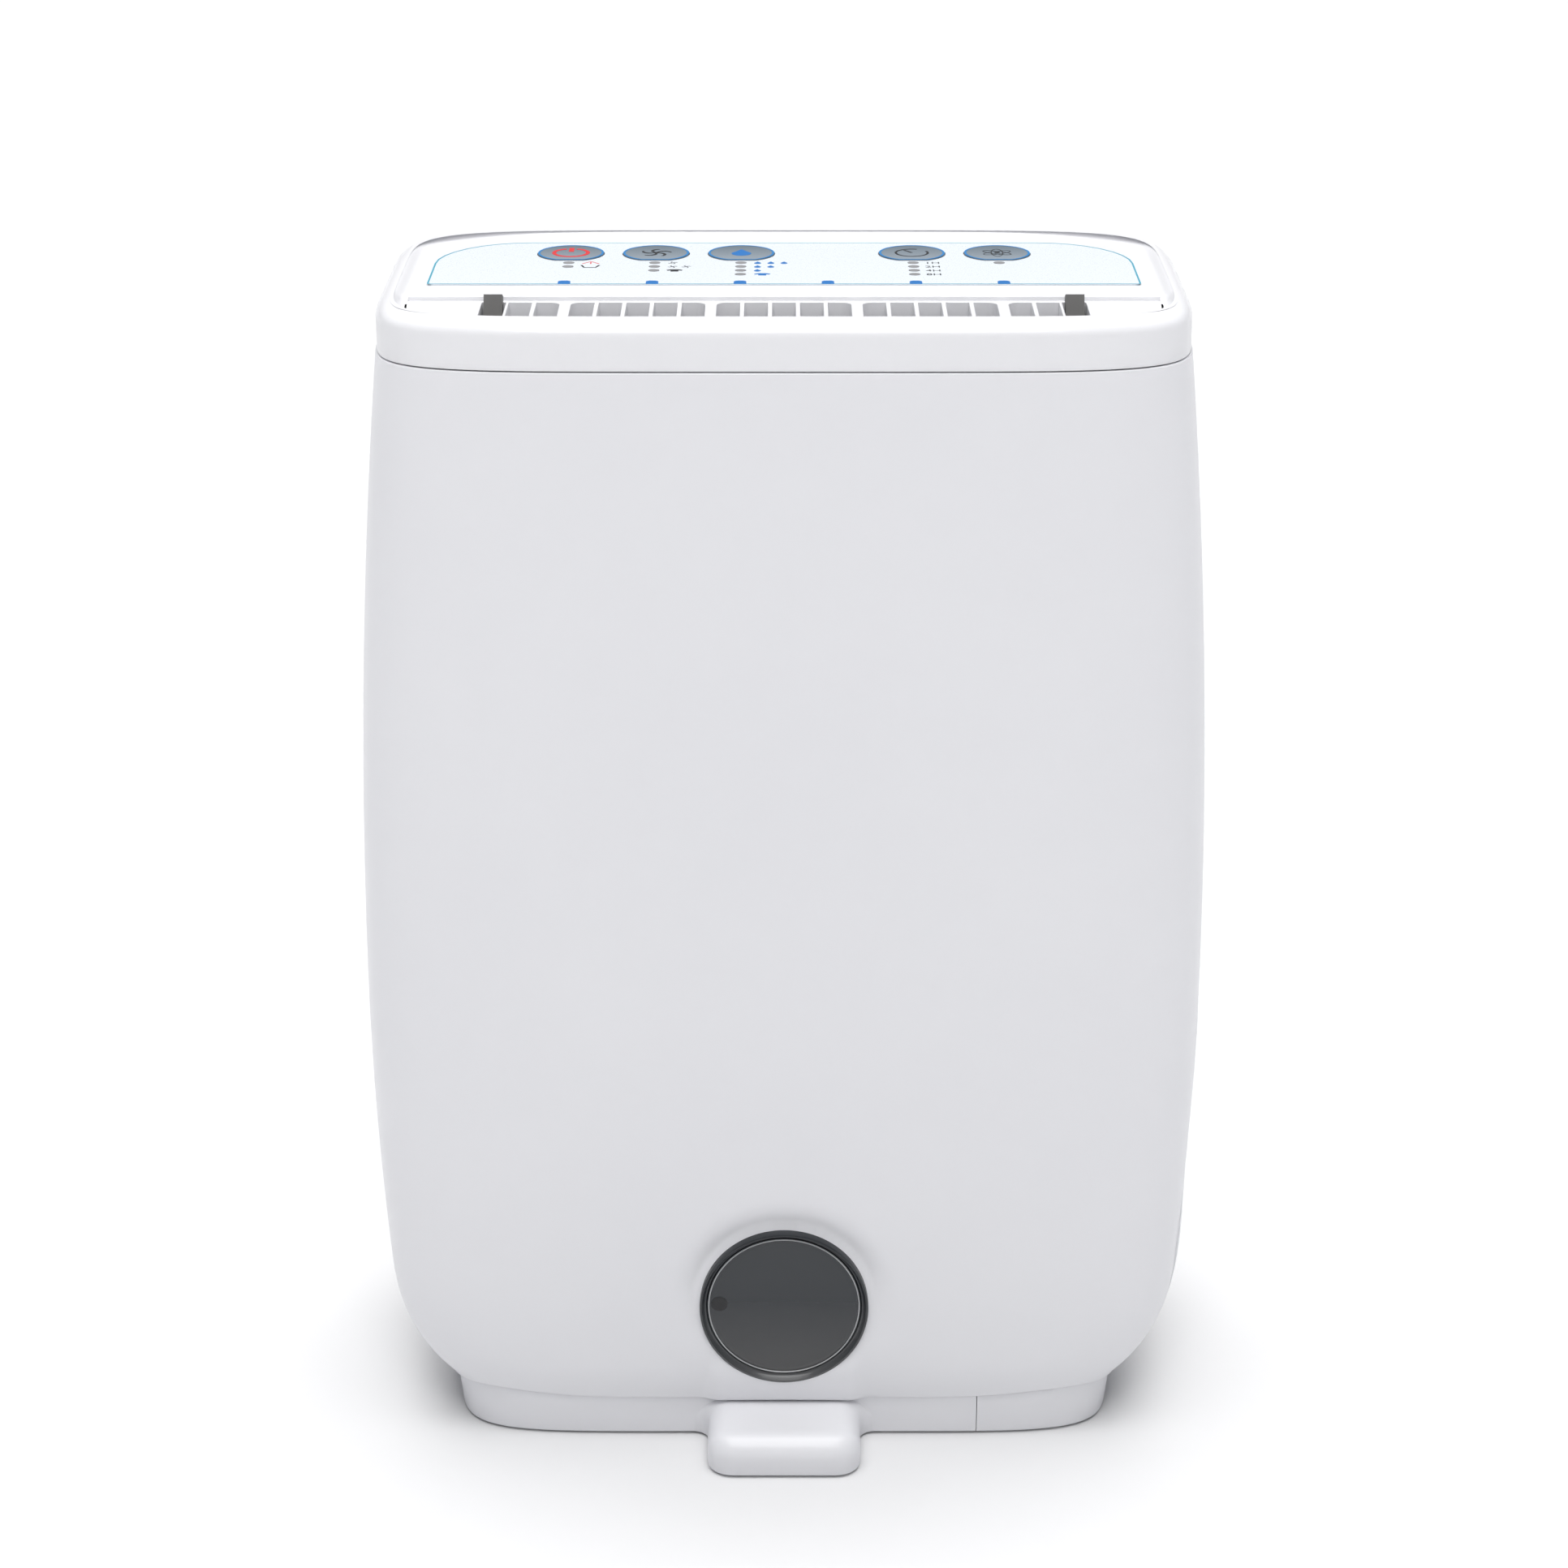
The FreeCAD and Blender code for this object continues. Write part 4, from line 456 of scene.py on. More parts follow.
NODE_LOOK = {
    "rear_housing": "white", "handle_cup": "white", "tank_face": "white", "inlet_grille": "white",
    "base_pedestal": "base", "base_end_piece": "base", "control_panel": "film",
    "cable_gland": "black", "rubber_feet": "rubber", "screws_rear_housing": "steel",
    "indicator_lights": "dot", "control_board": "board", "key_switches": "black",
    "outlet_duct": "duct", "louvre_blade": "blade", "louvre_levers": "lever",
    "fan_scroll": "inner", "fan_impeller": "black", "fan_motor": "steel", "fan_shaft": "steel",
    "partition_plate": "inner", "rotor_frame": "inner", "rotor_spider": "inner", "rotor_axle": "steel",
    "rotor_hub": "black", "desiccant_rotor": "rotor", "rotor_rim_gear": "nylon", "rotor_pinion": "nylon",
    "rotor_gear_motor": "steel", "heater_box": "tin", "heater_element": "steel",
    "regen_fan_housing": "inner", "regen_fan_motor": "steel", "regen_fan_impeller": "black",
    "condenser": "tank", "drip_tray": "inner", "tank_bay_liner": "inner", "filter_frame": "black",
    "filter_mesh": "mesh", "tank_body": "tank", "tank_lid": "inner", "float_pin": "steel",
    "tank_float": "foam", "float_magnet": "steel", "float_switch": "black", "power_board": "board",
    "power_board_components": "black", "humidity_sensor": "board", "ioniser_module": "black",
    "tilt_switch": "black", "front_housing": "white", "top_cover": "cover", "outlet_grille": "cover",
    "window_bezel": "bezel", "water_window": "lens",
}


def shade(obj, degrees=32.0):
    """Smooth shading that keeps edges sharper than the angle."""
    data = obj.data
    data.shade_smooth()
    data.set_sharp_from_angle(angle=math.radians(degrees))


def dress_nodes():
    for name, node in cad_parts.items():
        look = NODE_LOOK.get(name, "key")
        node.data.materials.clear()
        node.data.materials.append(M[look])
        shade(node)


# ------------------------------------------------------------------ mesh helpers


def assign(obj, body, slot_name, *nodes):
    """Gives a piece its body and hides the CAD nodes that it stands in for. The slot_name argument is not
    used.
    """
    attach(obj, body)
    if nodes:
        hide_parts(*nodes)
    return obj


def cap_rows(faces, rows, columns):
    """Closes the first and the last loop of a grid with one flat face each."""
    faces.append(tuple(range(columns)))
    faces.append(tuple(range((rows - 1) * columns, rows * columns)))
    return faces


def mesh_object(name, verts, faces, look, degrees=32.0):
    data = bpy.data.meshes.new(name)
    data.from_pydata([tuple(v) for v in verts], [], faces)
    data.validate()
    fix = bmesh.new()
    fix.from_mesh(data)
    bmesh.ops.remove_doubles(fix, verts=fix.verts, dist=1e-7)
    bmesh.ops.recalc_face_normals(fix, faces=fix.faces)
    fix.to_mesh(data)
    fix.free()
    obj = link(bpy.data.objects.new(name, data))
    data.materials.append(M[look])
    shade(obj, degrees)
    return obj


def settle(obj):
    """Applies an object's modifiers to its mesh."""
    graph = bpy.context.evaluated_depsgraph_get()
    data = bpy.data.meshes.new_from_object(obj.evaluated_get(graph))
    obj.modifiers.clear()
    obj.data = data
    return obj


def grid_faces(rows, columns, closed):
    faces = []
    last = columns if closed else columns - 1
    for r in range(rows - 1):
        for c in range(last):
            n = (c + 1) % columns
            faces.append((r * columns + c, r * columns + n, (r + 1) * columns + n, (r + 1) * columns + c))
    return faces


def plate(name, loops, top_z, thick, bevel, look, steps=3):
    """A flat plate with holes: the first loop is its outline, the others are cut out of it."""
    curve = bpy.data.curves.new(name + "_outline", "CURVE")
    curve.dimensions = "2D"
    curve.fill_mode = "BOTH"
    curve.extrude = max(thick / 2 - bevel, 0.0)
    curve.bevel_depth = bevel
    curve.bevel_resolution = steps
    curve.offset = -bevel
    for loop in loops:
        spline = curve.splines.new("POLY")
        spline.points.add(len(loop) - 1)
        for point, (x, y) in zip(spline.points, loop):
            point.co = (x, y, 0.0, 1.0)
        spline.use_cyclic_u = True
    maker = link(bpy.data.objects.new(name + "_maker", curve))
    graph = bpy.context.evaluated_depsgraph_get()
    data = bpy.data.meshes.new_from_object(maker.evaluated_get(graph))
    data.name = name
    bpy.data.objects.remove(maker)
    for vertex in data.vertices:
        vertex.co.z += top_z - thick / 2
    tidy = bmesh.new()
    tidy.from_mesh(data)
    bmesh.ops.remove_doubles(tidy, verts=tidy.verts, dist=1e-7)
    tidy.to_mesh(data)
    tidy.free()
    obj = link(bpy.data.objects.new(name, data))
    data.materials.clear()
    data.materials.append(M[look])
    shade(obj, 40.0)
    return obj


def arc(cx, cy, radius, start, end, steps):
    points = []
    for i in range(steps + 1):
        a = math.radians(start + (end - start) * i / steps)
        points.append((cx + radius * math.cos(a), cy + radius * math.sin(a)))
    return points


def round_rect(x0, x1, y0, y1, radii):
    """Corner radii run rear right, rear left, front left, front right."""
    corners = ((x1, y1, 0), (x0, y1, 90), (x0, y0, 180), (x1, y0, 270))
    points = []
    for (x, y, start), radius in zip(corners, radii):
        cx = x - radius if x == x1 else x + radius
        cy = y - radius if y == y1 else y + radius
        points += arc(cx, cy, radius, start, start + 90, 8)
    return points


def spin(name, profile, centre_x, centre_z, look, steps=160):
    """Turns a profile of (radius, y) round an axis along Y."""
    verts = []
    for radius, y in profile:
        for i in range(steps):
            a = 2 * math.pi * i / steps
            verts.append((centre_x + radius * math.cos(a), y, centre_z + radius * math.sin(a)))
    return mesh_object(name, verts, grid_faces(len(profile), steps, True), look)


def section(radius, y, steps):
    """Points of a section, stepped off in millimetres from a radius and a depth."""
    return [(radius + outward * MM, y + back * MM) for outward, back in steps]


def around(x, y, shape):
    """A mark's outline, given in millimetres about its middle."""
    return [(x + dx * MM, y + dy * MM) for dx, dy in shape]


def oval(x, y, half_width, half_depth, steps):
    angles = [2 * math.pi * i / steps for i in range(steps)]
    return [(x + half_width * math.cos(a), y + half_depth * math.sin(a)) for a in angles]


def turned(points, degrees, x, y):
    """Points turned about the origin and moved to a middle."""
    c = math.cos(math.radians(degrees))
    s = math.sin(math.radians(degrees))
    return [(x + px * c - py * s, y + px * s + py * c) for px, py in points]


# ------------------------------------------------------------------ casing surfaces


def half_width(z):
    if z >= WIDEST_Z:
        return MAX_HALF - (z - WIDEST_Z) ** 2 / (2 * UPPER_SIDE_RADIUS)
    if z >= LOWER_CORNER_RADIUS:
        return MAX_HALF - (WIDEST_Z - z) ** 2 / (2 * LOWER_SIDE_RADIUS)
    slope = (WIDEST_Z - LOWER_CORNER_RADIUS) / LOWER_SIDE_RADIUS
    start = MAX_HALF - (WIDEST_Z - LOWER_CORNER_RADIUS) ** 2 / (2 * LOWER_SIDE_RADIUS)
    drop = LOWER_CORNER_RADIUS * (1 + slope) - z
    return start - LOWER_CORNER_RADIUS + math.sqrt(LOWER_CORNER_RADIUS ** 2 - drop ** 2)


def reach(angle, half, front, rear, power):
    c = math.cos(angle)
    s = math.sin(angle)
    depth = rear if s >= 0 else front
    return (abs(c / half) ** power + abs(s / depth) ** power) ** (-1.0 / power)


def front_turn(z):
    """How far the front and rear walls have drawn in towards the hem."""
    if z >= BODY_BOTTOM_Z + TUCK_RISE:
        return 0.0
    return FRONT_TUCK * (1 - (z - BODY_BOTTOM_Z) / TUCK_RISE) ** 2


def casing_reach(angle, z):
    turn = front_turn(z)
    return reach(angle, half_width(z), FRONT_HALF - turn, REAR_HALF - turn, PLAN_POWER)


def base_reach(angle, z):
    half = BASE_HALF - BASE_FLARE / 2 + BASE_FLARE * z / BASE_TOP_Z
    return reach(angle, half, FRONT_HALF - BASE_FRONT_INSET, REAR_HALF - BASE_REAR_INSET, BASE_POWER)


def hem_height(angle):
    """Height where the casing comes down onto the base, found by halving."""
    low = BODY_BOTTOM_Z
    high = HEM_HIGHEST_Z
    for _ in range(HALVINGS):
        middle = (low + high) / 2
        if casing_reach(angle, middle) > base_reach(angle, BASE_TOP_Z) + HEM_STAND:
            high = middle
        else:
            low = middle
    return high


def ease(value, start, end):
    """0 at start, 1 at end, with a soft turn at both."""
    t = min(max((value - start) / (end - start), 0.0), 1.0)
    return t * t * (3 - 2 * t)


def window_relief(x, z):
    """How far the front stands out of its plain curve: a dish above the window, a flare and neck below."""
    dx = x - WINDOW_X
    dz = z - WINDOW_Z
    radius = math.hypot(dx, dz)
    beyond = radius - BEZEL_RADIUS
    above = dz / max(radius, TINY)
    lip = 1 - LIP_SHARE * (1 - ease(beyond, LIP_FROM, LIP_TO))
    near = lip * (1 - ease(beyond, DISH_FROM, DISH_TO))
    dish = -DISH_DEPTH * near * ease(above, *DISH_TURN)
    flare = SWELL * (1 - ease(beyond, FLARE_FROM, FLARE_TO)) * ease(-above, *FLARE_TURN)
    side = 1 - ease(abs(dx), NECK_FLAT_HALF, NECK_HALF)
    neck = SWELL * side * (1 - ease(z, NECK_FULL_Z, NECK_END_Z))
    return dish + max(flare, neck)


def mouth_angle(z):
    """Plan angle at which the casing reaches the front edge of the tank's mouth, on the right."""
    share = abs(MOUTH_FRONT_Y - CENTRE_Y) / (FRONT_HALF - front_turn(z))
    x = half_width(z) * (1 - share ** PLAN_POWER) ** (1 / PLAN_POWER)
    return math.atan2(MOUTH_FRONT_Y - CENTRE_Y, x)


MOUTH_COLUMN = round((SHELL_COLUMNS - 1) * (mouth_angle(MOUTH_VIEW_Z) + math.pi + SPLIT_ANGLE)
                     / (math.pi + 2 * SPLIT_ANGLE))


def column_angle(column, z):
    """Columns run from the split on the left, round the front, to the mouth's edge and the split."""
    edge = mouth_angle(z)
    first = -math.pi - SPLIT_ANGLE
    if column <= MOUTH_COLUMN:
        return first + (edge - first) * column / MOUTH_COLUMN
    return edge + (SPLIT_ANGLE - edge) * (column - MOUTH_COLUMN) / (SHELL_COLUMNS - 1 - MOUTH_COLUMN)


def shell_point(column, z, inset, drop):
    angle = column_angle(column, z)
    r = casing_reach(angle, z) - inset
    x = r * math.cos(angle)
    y = CENTRE_Y + r * math.sin(angle)
    if y < FRONT_WALL_Y:
        y -= window_relief(x, z)
    return x, y, z - drop


def shell_rows(column):
    """Height, inset and drop of each point up one column: the hem's lip, the wall, the top edge."""
    hem = hem_height(column_angle(column, HEM_VIEW_Z)) + HEM_RADIUS
    top = COVER_LOW_Z - SEAM_HALF
    high_span = top - SEAM_EDGE - MOUTH_TOP_Z
    rows = [(hem, HEM_RADIUS + HEM_RETURN, HEM_RADIUS)]
    for degrees in HEM_LIP_DEGREES:
        t = math.radians(degrees)
        rows.append((hem, HEM_RADIUS * (1 - math.cos(t)), HEM_RADIUS * math.sin(t)))
    for r in range(SHELL_LOW_ROWS):
        rows.append((hem + (MOUTH_TOP_Z - hem) * (r / SHELL_LOW_ROWS) ** LOW_ROW_CROWDING, 0.0, 0.0))
    for r in range(SHELL_HIGH_ROWS + 1):
        rows.append((MOUTH_TOP_Z + high_span * r / SHELL_HIGH_ROWS, 0.0, 0.0))
    return rows + [(top, SEAM_SOFTENING, SEAM_SOFTENING), (top, SEAM_EDGE, 0.0), (top, WALL, 0.0)]


def outside_mouth(face):
    """Whether a face of the front shell lies outside the tank's mouth."""
    row, column = divmod(face[0], SHELL_COLUMNS)
    mouth_row = 1 + len(HEM_LIP_DEGREES) + SHELL_LOW_ROWS
    return row >= mouth_row or column < MOUTH_COLUMN


def front_shell():
    columns = [shell_rows(column) for column in range(SHELL_COLUMNS)]
    count = len(columns[0])
    verts = []
    for row in range(count):
        for column in range(SHELL_COLUMNS):
            verts.append(shell_point(column, *columns[column][row]))
    faces = [face for face in grid_faces(count, SHELL_COLUMNS, False) if outside_mouth(face)]
    shell = mesh_object("front_shell", verts, open_window(verts, faces), "white", 50.0)
    thick = shell.modifiers.new("wall", "SOLIDIFY")
    thick.thickness = SHELL_THICK
    thick.offset = -1.0
    settle(shell)
    shade(shell, 50.0)
    assign(shell, "casing", "white_shell", "front_housing")


def from_window(vert):
    """Distance from the window's middle, or infinity behind the front wall."""
    if vert[1] > FRONT_WALL_Y:
        return math.inf
    return math.hypot(vert[0] - WINDOW_X, vert[2] - WINDOW_Z)


def open_window(verts, faces):
    """Leaves out the faces behind the window and draws the hole's edge onto a true circle."""
    kept = []
    dropped = []
    for face in faces:
        clear = all(from_window(verts[k]) > HOLE_RADIUS - HOLE_SLACK for k in face)
        (kept if clear else dropped).append(face)
    edge = {k for face in kept for k in face} & {k for face in dropped for k in face}
    for k in edge:
        x, y, z = verts[k]
        share = HOLE_RADIUS / from_window(verts[k])
        new_x = WINDOW_X + (x - WINDOW_X) * share
        new_z = WINDOW_Z + (z - WINDOW_Z) * share
        verts[k] = (new_x, y + window_relief(x, z) - window_relief(new_x, new_z), new_z)
    return kept


# ------------------------------------------------------------------ top cover


def cover_half():
    return half_width(COVER_LOW_Z - SEAM_HALF) - COVER_INSET


def deck_reach(angle, grow=0.0):
    return reach(angle, DECK_HALF + grow, DECK_FRONT + grow, DECK_REAR + grow, DECK_POWER)


def cover_outside():
    """Insets and heights up the cover's outer wall and over its crest."""
    straight = CREST_Z - CREST_RADIUS
    levels = [(SKIRT_INSET, COVER_LOW_Z - SKIRT_DEPTH), (SKIRT_INSET, COVER_LOW_Z),
              (SEAM_HALF, COVER_LOW_Z), (SEAM_SOFTENING, COVER_LOW_Z + SEAM_SOFTENING),
              (0.0, COVER_LOW_Z + SEAM_HALF)]
    levels += [(0.0, COVER_LOW_Z + band) for band in COVER_BANDS] + [(0.0, straight)]
    for i in range(1, CREST_STEPS + 1):
        a = 0.5 * math.pi * i / CREST_STEPS
        levels.append((CREST_RADIUS * (1 - math.cos(a)), straight + CREST_RADIUS * math.sin(a)))
    return levels


def cover_inside():
    """Growth, share of the way down to the deck, and extra drop, from the crest to the hidden ledge."""
    levels = [(RIM_SLOPE * (1 - i / CREST_STEPS), (1 - math.cos(math.pi * i / CREST_STEPS)) / 2, 0.0)
              for i in range(CREST_STEPS + 1)]
    return levels + [(-LEDGE_REACH, 1.0, 0.0), (-LEDGE_REACH, 1.0, LEDGE_DEPTH)]


def top_ring():
    """The cover's rim: outer wall, rounded crest, soft inner side and the ledge under the deck's edge."""
    angles = [2 * math.pi * i / COVER_COLUMNS for i in range(COVER_COLUMNS)]
    verts = []
    for inset, z in cover_outside():
        for a in angles:
            r = reach(a, cover_half() - inset, FRONT_HALF - COVER_INSET - inset,
                      REAR_HALF - COVER_INSET - inset, PLAN_POWER)
            verts.append((r * math.cos(a), CENTRE_Y + r * math.sin(a), z))
    for grow, share, below in cover_inside():
        for a in angles:
            r = deck_reach(a, grow)
            y = CENTRE_Y + r * math.sin(a)
            level = GRILLE_TOP.z + (DECK_Z - GRILLE_TOP.z) * ease(y, STEP_Y - STEP_RUN, STEP_Y)
            verts.append((r * math.cos(a), y, CREST_Z - (CREST_Z - level) * share - below))
    faces = grid_faces(len(verts) // COVER_COLUMNS, COVER_COLUMNS, True)
    ring = mesh_object("cover_rim", verts, faces, "cover", 50.0)
    assign(ring, "casing", "white_shell", "top_cover")


def edge_order(point, rear_part):
    """Finds the outline point that comes just after the step, going round anticlockwise."""
    side = 1.0 if rear_part else -1.0
    if point[0] * side < 0:
        return math.inf
    return abs(point[1] - STEP_Y)


def deck_outline(rear_part):
    """The deck's own outline on one side of the step, run a little under the rim."""
    points = []
    for i in range(COVER_COLUMNS):
        a = 2 * math.pi * i / COVER_COLUMNS
        r = deck_reach(a, DECK_TUCKED)
        y = CENTRE_Y + r * math.sin(a)
        if (y > STEP_Y) == rear_part:
            points.append((r * math.cos(a), y))
    start = min(range(len(points)), key=lambda k: edge_order(points[k], rear_part))
    points = points[start:] + points[:start]
    return [(points[0][0], STEP_Y)] + points + [(points[-1][0], STEP_Y)]


def key_centre(name):
    """Middle of a key's round part, and the level of print on its top."""
    low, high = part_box("button_" + name)
    return (low.x + high.x) / 2, high.y - (high.x - low.x) / 2, high.z + PRINT


def key_loop(name, grow):
    """Round key outline with its front cut straight."""
    low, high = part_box("button_" + name)
    x, middle, _ = key_centre(name)
    big = (high.x - low.x) / 2 + grow
    drop = middle - low.y + grow
    cut = math.degrees(math.asin(min(drop / big, 1.0)))
    return arc(x, middle, big, -cut, 180 + cut, 72)


def deck_plate():
    loops = [deck_outline(True)] + [key_loop(name, KEY_GAP) for name in KEYS]
    deck = plate("deck_plate", loops, DECK_Z - DECK_SINK, DECK_THICK, DECK_EDGE, "cover")
    assign(deck, "casing", "white_shell")


def outlet_cells():
    """Cell outlines of the outlet, wide rounded at the outer corners of each long group."""
    front = GRILLE_LOW.y + CELL_MARGIN
    rear = GRILLE_TOP.y - CELL_MARGIN
    half = GRILLE_TOP.x
    last = len(CELL_GROUPS) - 1
    loops = []
    x = -half + SLOT_MARGIN + LEVER_SLOT + SLOT_MARGIN / 2
    for index, count in enumerate(CELL_GROUPS):
        for i in range(count):
            left = CELL_WIDE_CORNER if i == 0 and index > 0 else CELL_CORNER
            right = CELL_WIDE_CORNER if i == count - 1 and index < last else CELL_CORNER
            x0 = x + i * (CELL + RIB)
            loops.append(round_rect(x0, x0 + CELL, front, rear, (right, left, left, right)))
        x += count * CELL + (count - 1) * RIB + GROUP_GAP
    for x0 in (-half + SLOT_MARGIN, half - SLOT_MARGIN - LEVER_SLOT):
        loops.append(round_rect(x0, x0 + LEVER_SLOT, front, rear, (CELL_CORNER,) * 4))
    return loops


def outlet():
    loops = [deck_outline(False)] + outlet_cells()
    grille = plate("outlet_cells", loops, GRILLE_TOP.z, GRILLE_TOP.z - GRILLE_LOW.z, CELL_EDGE, "cover")
    assign(grille, "casing", "white_shell", "outlet_grille")


# ------------------------------------------------------------------ window


def window_rim():
    rim = [(BEZEL_RADIUS, WINDOW_HIGH.y)] + section(BEZEL_RADIUS, WINDOW_LOW.y, RIM_OUTER_EDGE)
    rim += section(LENS_RADIUS, LENS_LOW.y, RIM_INNER_EDGE)
    rim.append((rim[-1][0], WINDOW_HIGH.y))
    bezel = spin("window_rim", rim, WINDOW_X, WINDOW_Z, "bezel")
    assign(bezel, "casing", "window_trim", "window_bezel")


def window_lens():
    """A flat-domed lens with a groove just inside its edge."""
    edge = LENS_RADIUS - LENS_GAP
    face = section(edge, LENS_LOW.y, LENS_EDGE)
    start, floor_y = face[-1]
    for i in range(1, LENS_STEPS + 1):
        r = start * (1 - i / LENS_STEPS) + TINY
        face.append((r, floor_y - LENS_DOME * (1 - (r / edge) ** 2)))
    lens = spin("window_lens", face, WINDOW_X, WINDOW_Z, "lens")
    assign(lens, "casing", "smoked_window", "water_window")


def window_line():
    """The fine bright line round the lens."""
    middle = LENS_RADIUS - LENS_GAP - LINE_INSET
    bow = []
    for i in range(LINE_STEPS + 1):
        a = math.pi * i / LINE_STEPS
        depth = LENS_LOW.y - LINE_SINK - LINE_PROUD * math.sin(a)
        bow.append((middle + LINE_HALF_WIDTH * math.cos(a), depth))
    ring = spin("window_ring", bow, WINDOW_X, WINDOW_Z, "ring")
    assign(ring, "casing", "window_trim")


def window_stud():
    boss = section(0.0, LENS_LOW.y, STUD_SECTION)
    x = WINDOW_X - LENS_RADIUS + STUD_INSET
    mark = spin("window_stud", boss, x, WINDOW_Z + STUD_RISE, "black", 48)
    assign(mark, "casing", "smoked_window")


# ------------------------------------------------------------------ base and foot


def base_angle(x, side):
    """Plan angle of the base's front (side -1) or rear (side 1) wall at a distance to the right."""
    depth = FRONT_HALF - BASE_FRONT_INSET if side < 0 else REAR_HALF - BASE_REAR_INSET
    y = depth * (1 - abs(x / BASE_HALF) ** BASE_POWER) ** (1 / BASE_POWER)
    return math.atan2(side * y, x)


def base_levels():
    """Heights and insets up the base's wall, with a rounded lower edge and a small bevel on top."""
    levels = [(BASE_LOW_Z, BASE_EDGE)]
    for i in range(1, BASE_EDGE_STEPS + 1):
        t = math.pi / 2 * i / BASE_EDGE_STEPS
        levels.append((BASE_LOW_Z + BASE_EDGE * (1 - math.cos(t)), BASE_EDGE * (1 - math.sin(t))))
    levels += [(BASE_LOW_Z + band, 0.0) for band in BASE_BANDS]
    return levels + [(BASE_TOP_Z - BASE_TOP_EDGE, 0.0), (BASE_TOP_Z, BASE_TOP_EDGE)]


def base_block(name, first, last, low_x, high_x, node):
    """A stretch of the base between two plan angles, kept to one side of the seam."""
    levels = base_levels()
    verts = []
    for z, inset in levels:
        for i in range(BASE_COLUMNS):
            a = first + (last - first) * i / (BASE_COLUMNS - 1)
            r = base_reach(a, z) - inset
            x = min(max(r * math.cos(a), low_x), high_x)
            verts.append((x, CENTRE_Y + r * math.sin(a), z))
    faces = cap_rows(grid_faces(len(levels), BASE_COLUMNS, True), len(levels), BASE_COLUMNS)
    block = mesh_object(name, verts, faces, "base", 35.0)
    assign(block, "casing", "white_base", node)


def foot_outline(inset, front):
    """Half of the foot's plan, right side, from the base wall round the flare to the front's middle."""
    half = FOOT_HALF - inset
    flare = FOOT_FLARE + inset
    corner = max(FOOT_CORNER - inset, FOOT_LEAST_CORNER)
    centre_x = FOOT_HALF + FOOT_FLARE
    centre_y = front - FOOT_FLARE
    tip = LOW.y + inset
    points = arc(centre_x, centre_y, flare, 90, 180, 14)
    points += [(half, centre_y - (centre_y - tip - corner) * i / 4) for i in range(1, 5)]
    points += arc(half - corner, tip + corner, corner, 0, -90, 12)[1:]
    points += [((half - corner) * (1 - i / 6), tip) for i in range(1, 7)]
    return points


def foot():
    """The rounded foot: stacked plans drawn in towards the top, with flares that run into the base."""
    front = CENTRE_Y - (FRONT_HALF - BASE_FRONT_INSET) + FOOT_SINK
    levels = [(BASE_LOW_Z + rise, inset) for rise, inset in FOOT_LOWER_EDGE]
    for i in range(FOOT_STEPS + 1):
        t = math.pi / 2 * i / FOOT_STEPS
        levels.append((FOOT_TOP_Z - FOOT_ROUND * (1 - math.sin(t)), FOOT_ROUND * (1 - math.cos(t))))
    verts = []
    for z, inset in levels:
        right = foot_outline(inset, front)
        half_loop = [(right[0][0], front + FOOT_ROOT)] + right
        loop = half_loop + [(-x, y) for x, y in reversed(half_loop[:-1])]
        verts += [(x, y, z) for x, y in loop]
    count = len(loop)
    faces = cap_rows(grid_faces(len(levels), count, True), len(levels), count)
    piece = mesh_object("front_foot", verts, faces, "base", 60.0)
    assign(piece, "casing", "white_base")


def base():
    base_block("base_main", base_angle(SEAM_LEFT_X, 1), 2 * math.pi + base_angle(SEAM_LEFT_X, -1),
               -BASE_HALF - BASE_FLARE, SEAM_LEFT_X, "base_pedestal")
    base_block("base_right", base_angle(SEAM_RIGHT_X, -1), base_angle(SEAM_RIGHT_X, 1), SEAM_RIGHT_X,
               BASE_HALF + BASE_FLARE, "base_end_piece")
    foot()


# ------------------------------------------------------------------ control panel


def ribbon(name, points, width, top_z, look, body, closed=False, slot_name="overlay_film"):
    """A flat printed line of constant width along points."""
    count = len(points)
    verts = []
    for i, (x, y) in enumerate(points):
        before = points[(i - 1) % count] if closed or i > 0 else points[i]
        after = points[(i + 1) % count] if closed or i < count - 1 else points[i]
        dx = after[0] - before[0]
        dy = after[1] - before[1]
        length = max(math.hypot(dx, dy), 1e-9)
        nx = -dy / length * width / 2
        ny = dx / length * width / 2
        for z in (top_z, top_z - PRINT):
            verts.append((x + nx, y + ny, z))
            verts.append((x - nx, y - ny, z))
    faces = []
    last = count if closed else count - 1
    for i in range(last):
        a = 4 * i
        b = 4 * ((i + 1) % count)
        faces += [(a, b, b + 1, a + 1), (a + 2, a + 3, b + 3, b + 2), (a, a + 2, b + 2, b),
                  (a + 1, b + 1, b + 3, a + 3)]
    if not closed:
        end = 4 * (count - 1)
        faces += [(0, 1, 3, 2), (end, end + 2, end + 3, end + 1)]
    return assign(mesh_object(name, verts, faces, look), body, slot_name)


def patch(name, loop, top_z, look, body, slot_name="overlay_film"):
    """A flat printed shape."""
    return assign(plate(name, [loop], top_z, PRINT, 0.0, look), body, slot_name)


def panel_outline():
    corners = (OUTLINE_REAR_CORNER, OUTLINE_REAR_CORNER, OUTLINE_FRONT_CORNER, OUTLINE_FRONT_CORNER)
    outline = round_rect(PANEL_LOW.x + OUTLINE_INSET, PANEL_HIGH.x - OUTLINE_INSET,
                         PANEL_LOW.y + OUTLINE_INSET, PANEL_HIGH.y - OUTLINE_INSET, corners)
    ribbon("panel_outline", outline, OUTLINE_WIDTH, PANEL_TOP, "outline", "casing", closed=True)


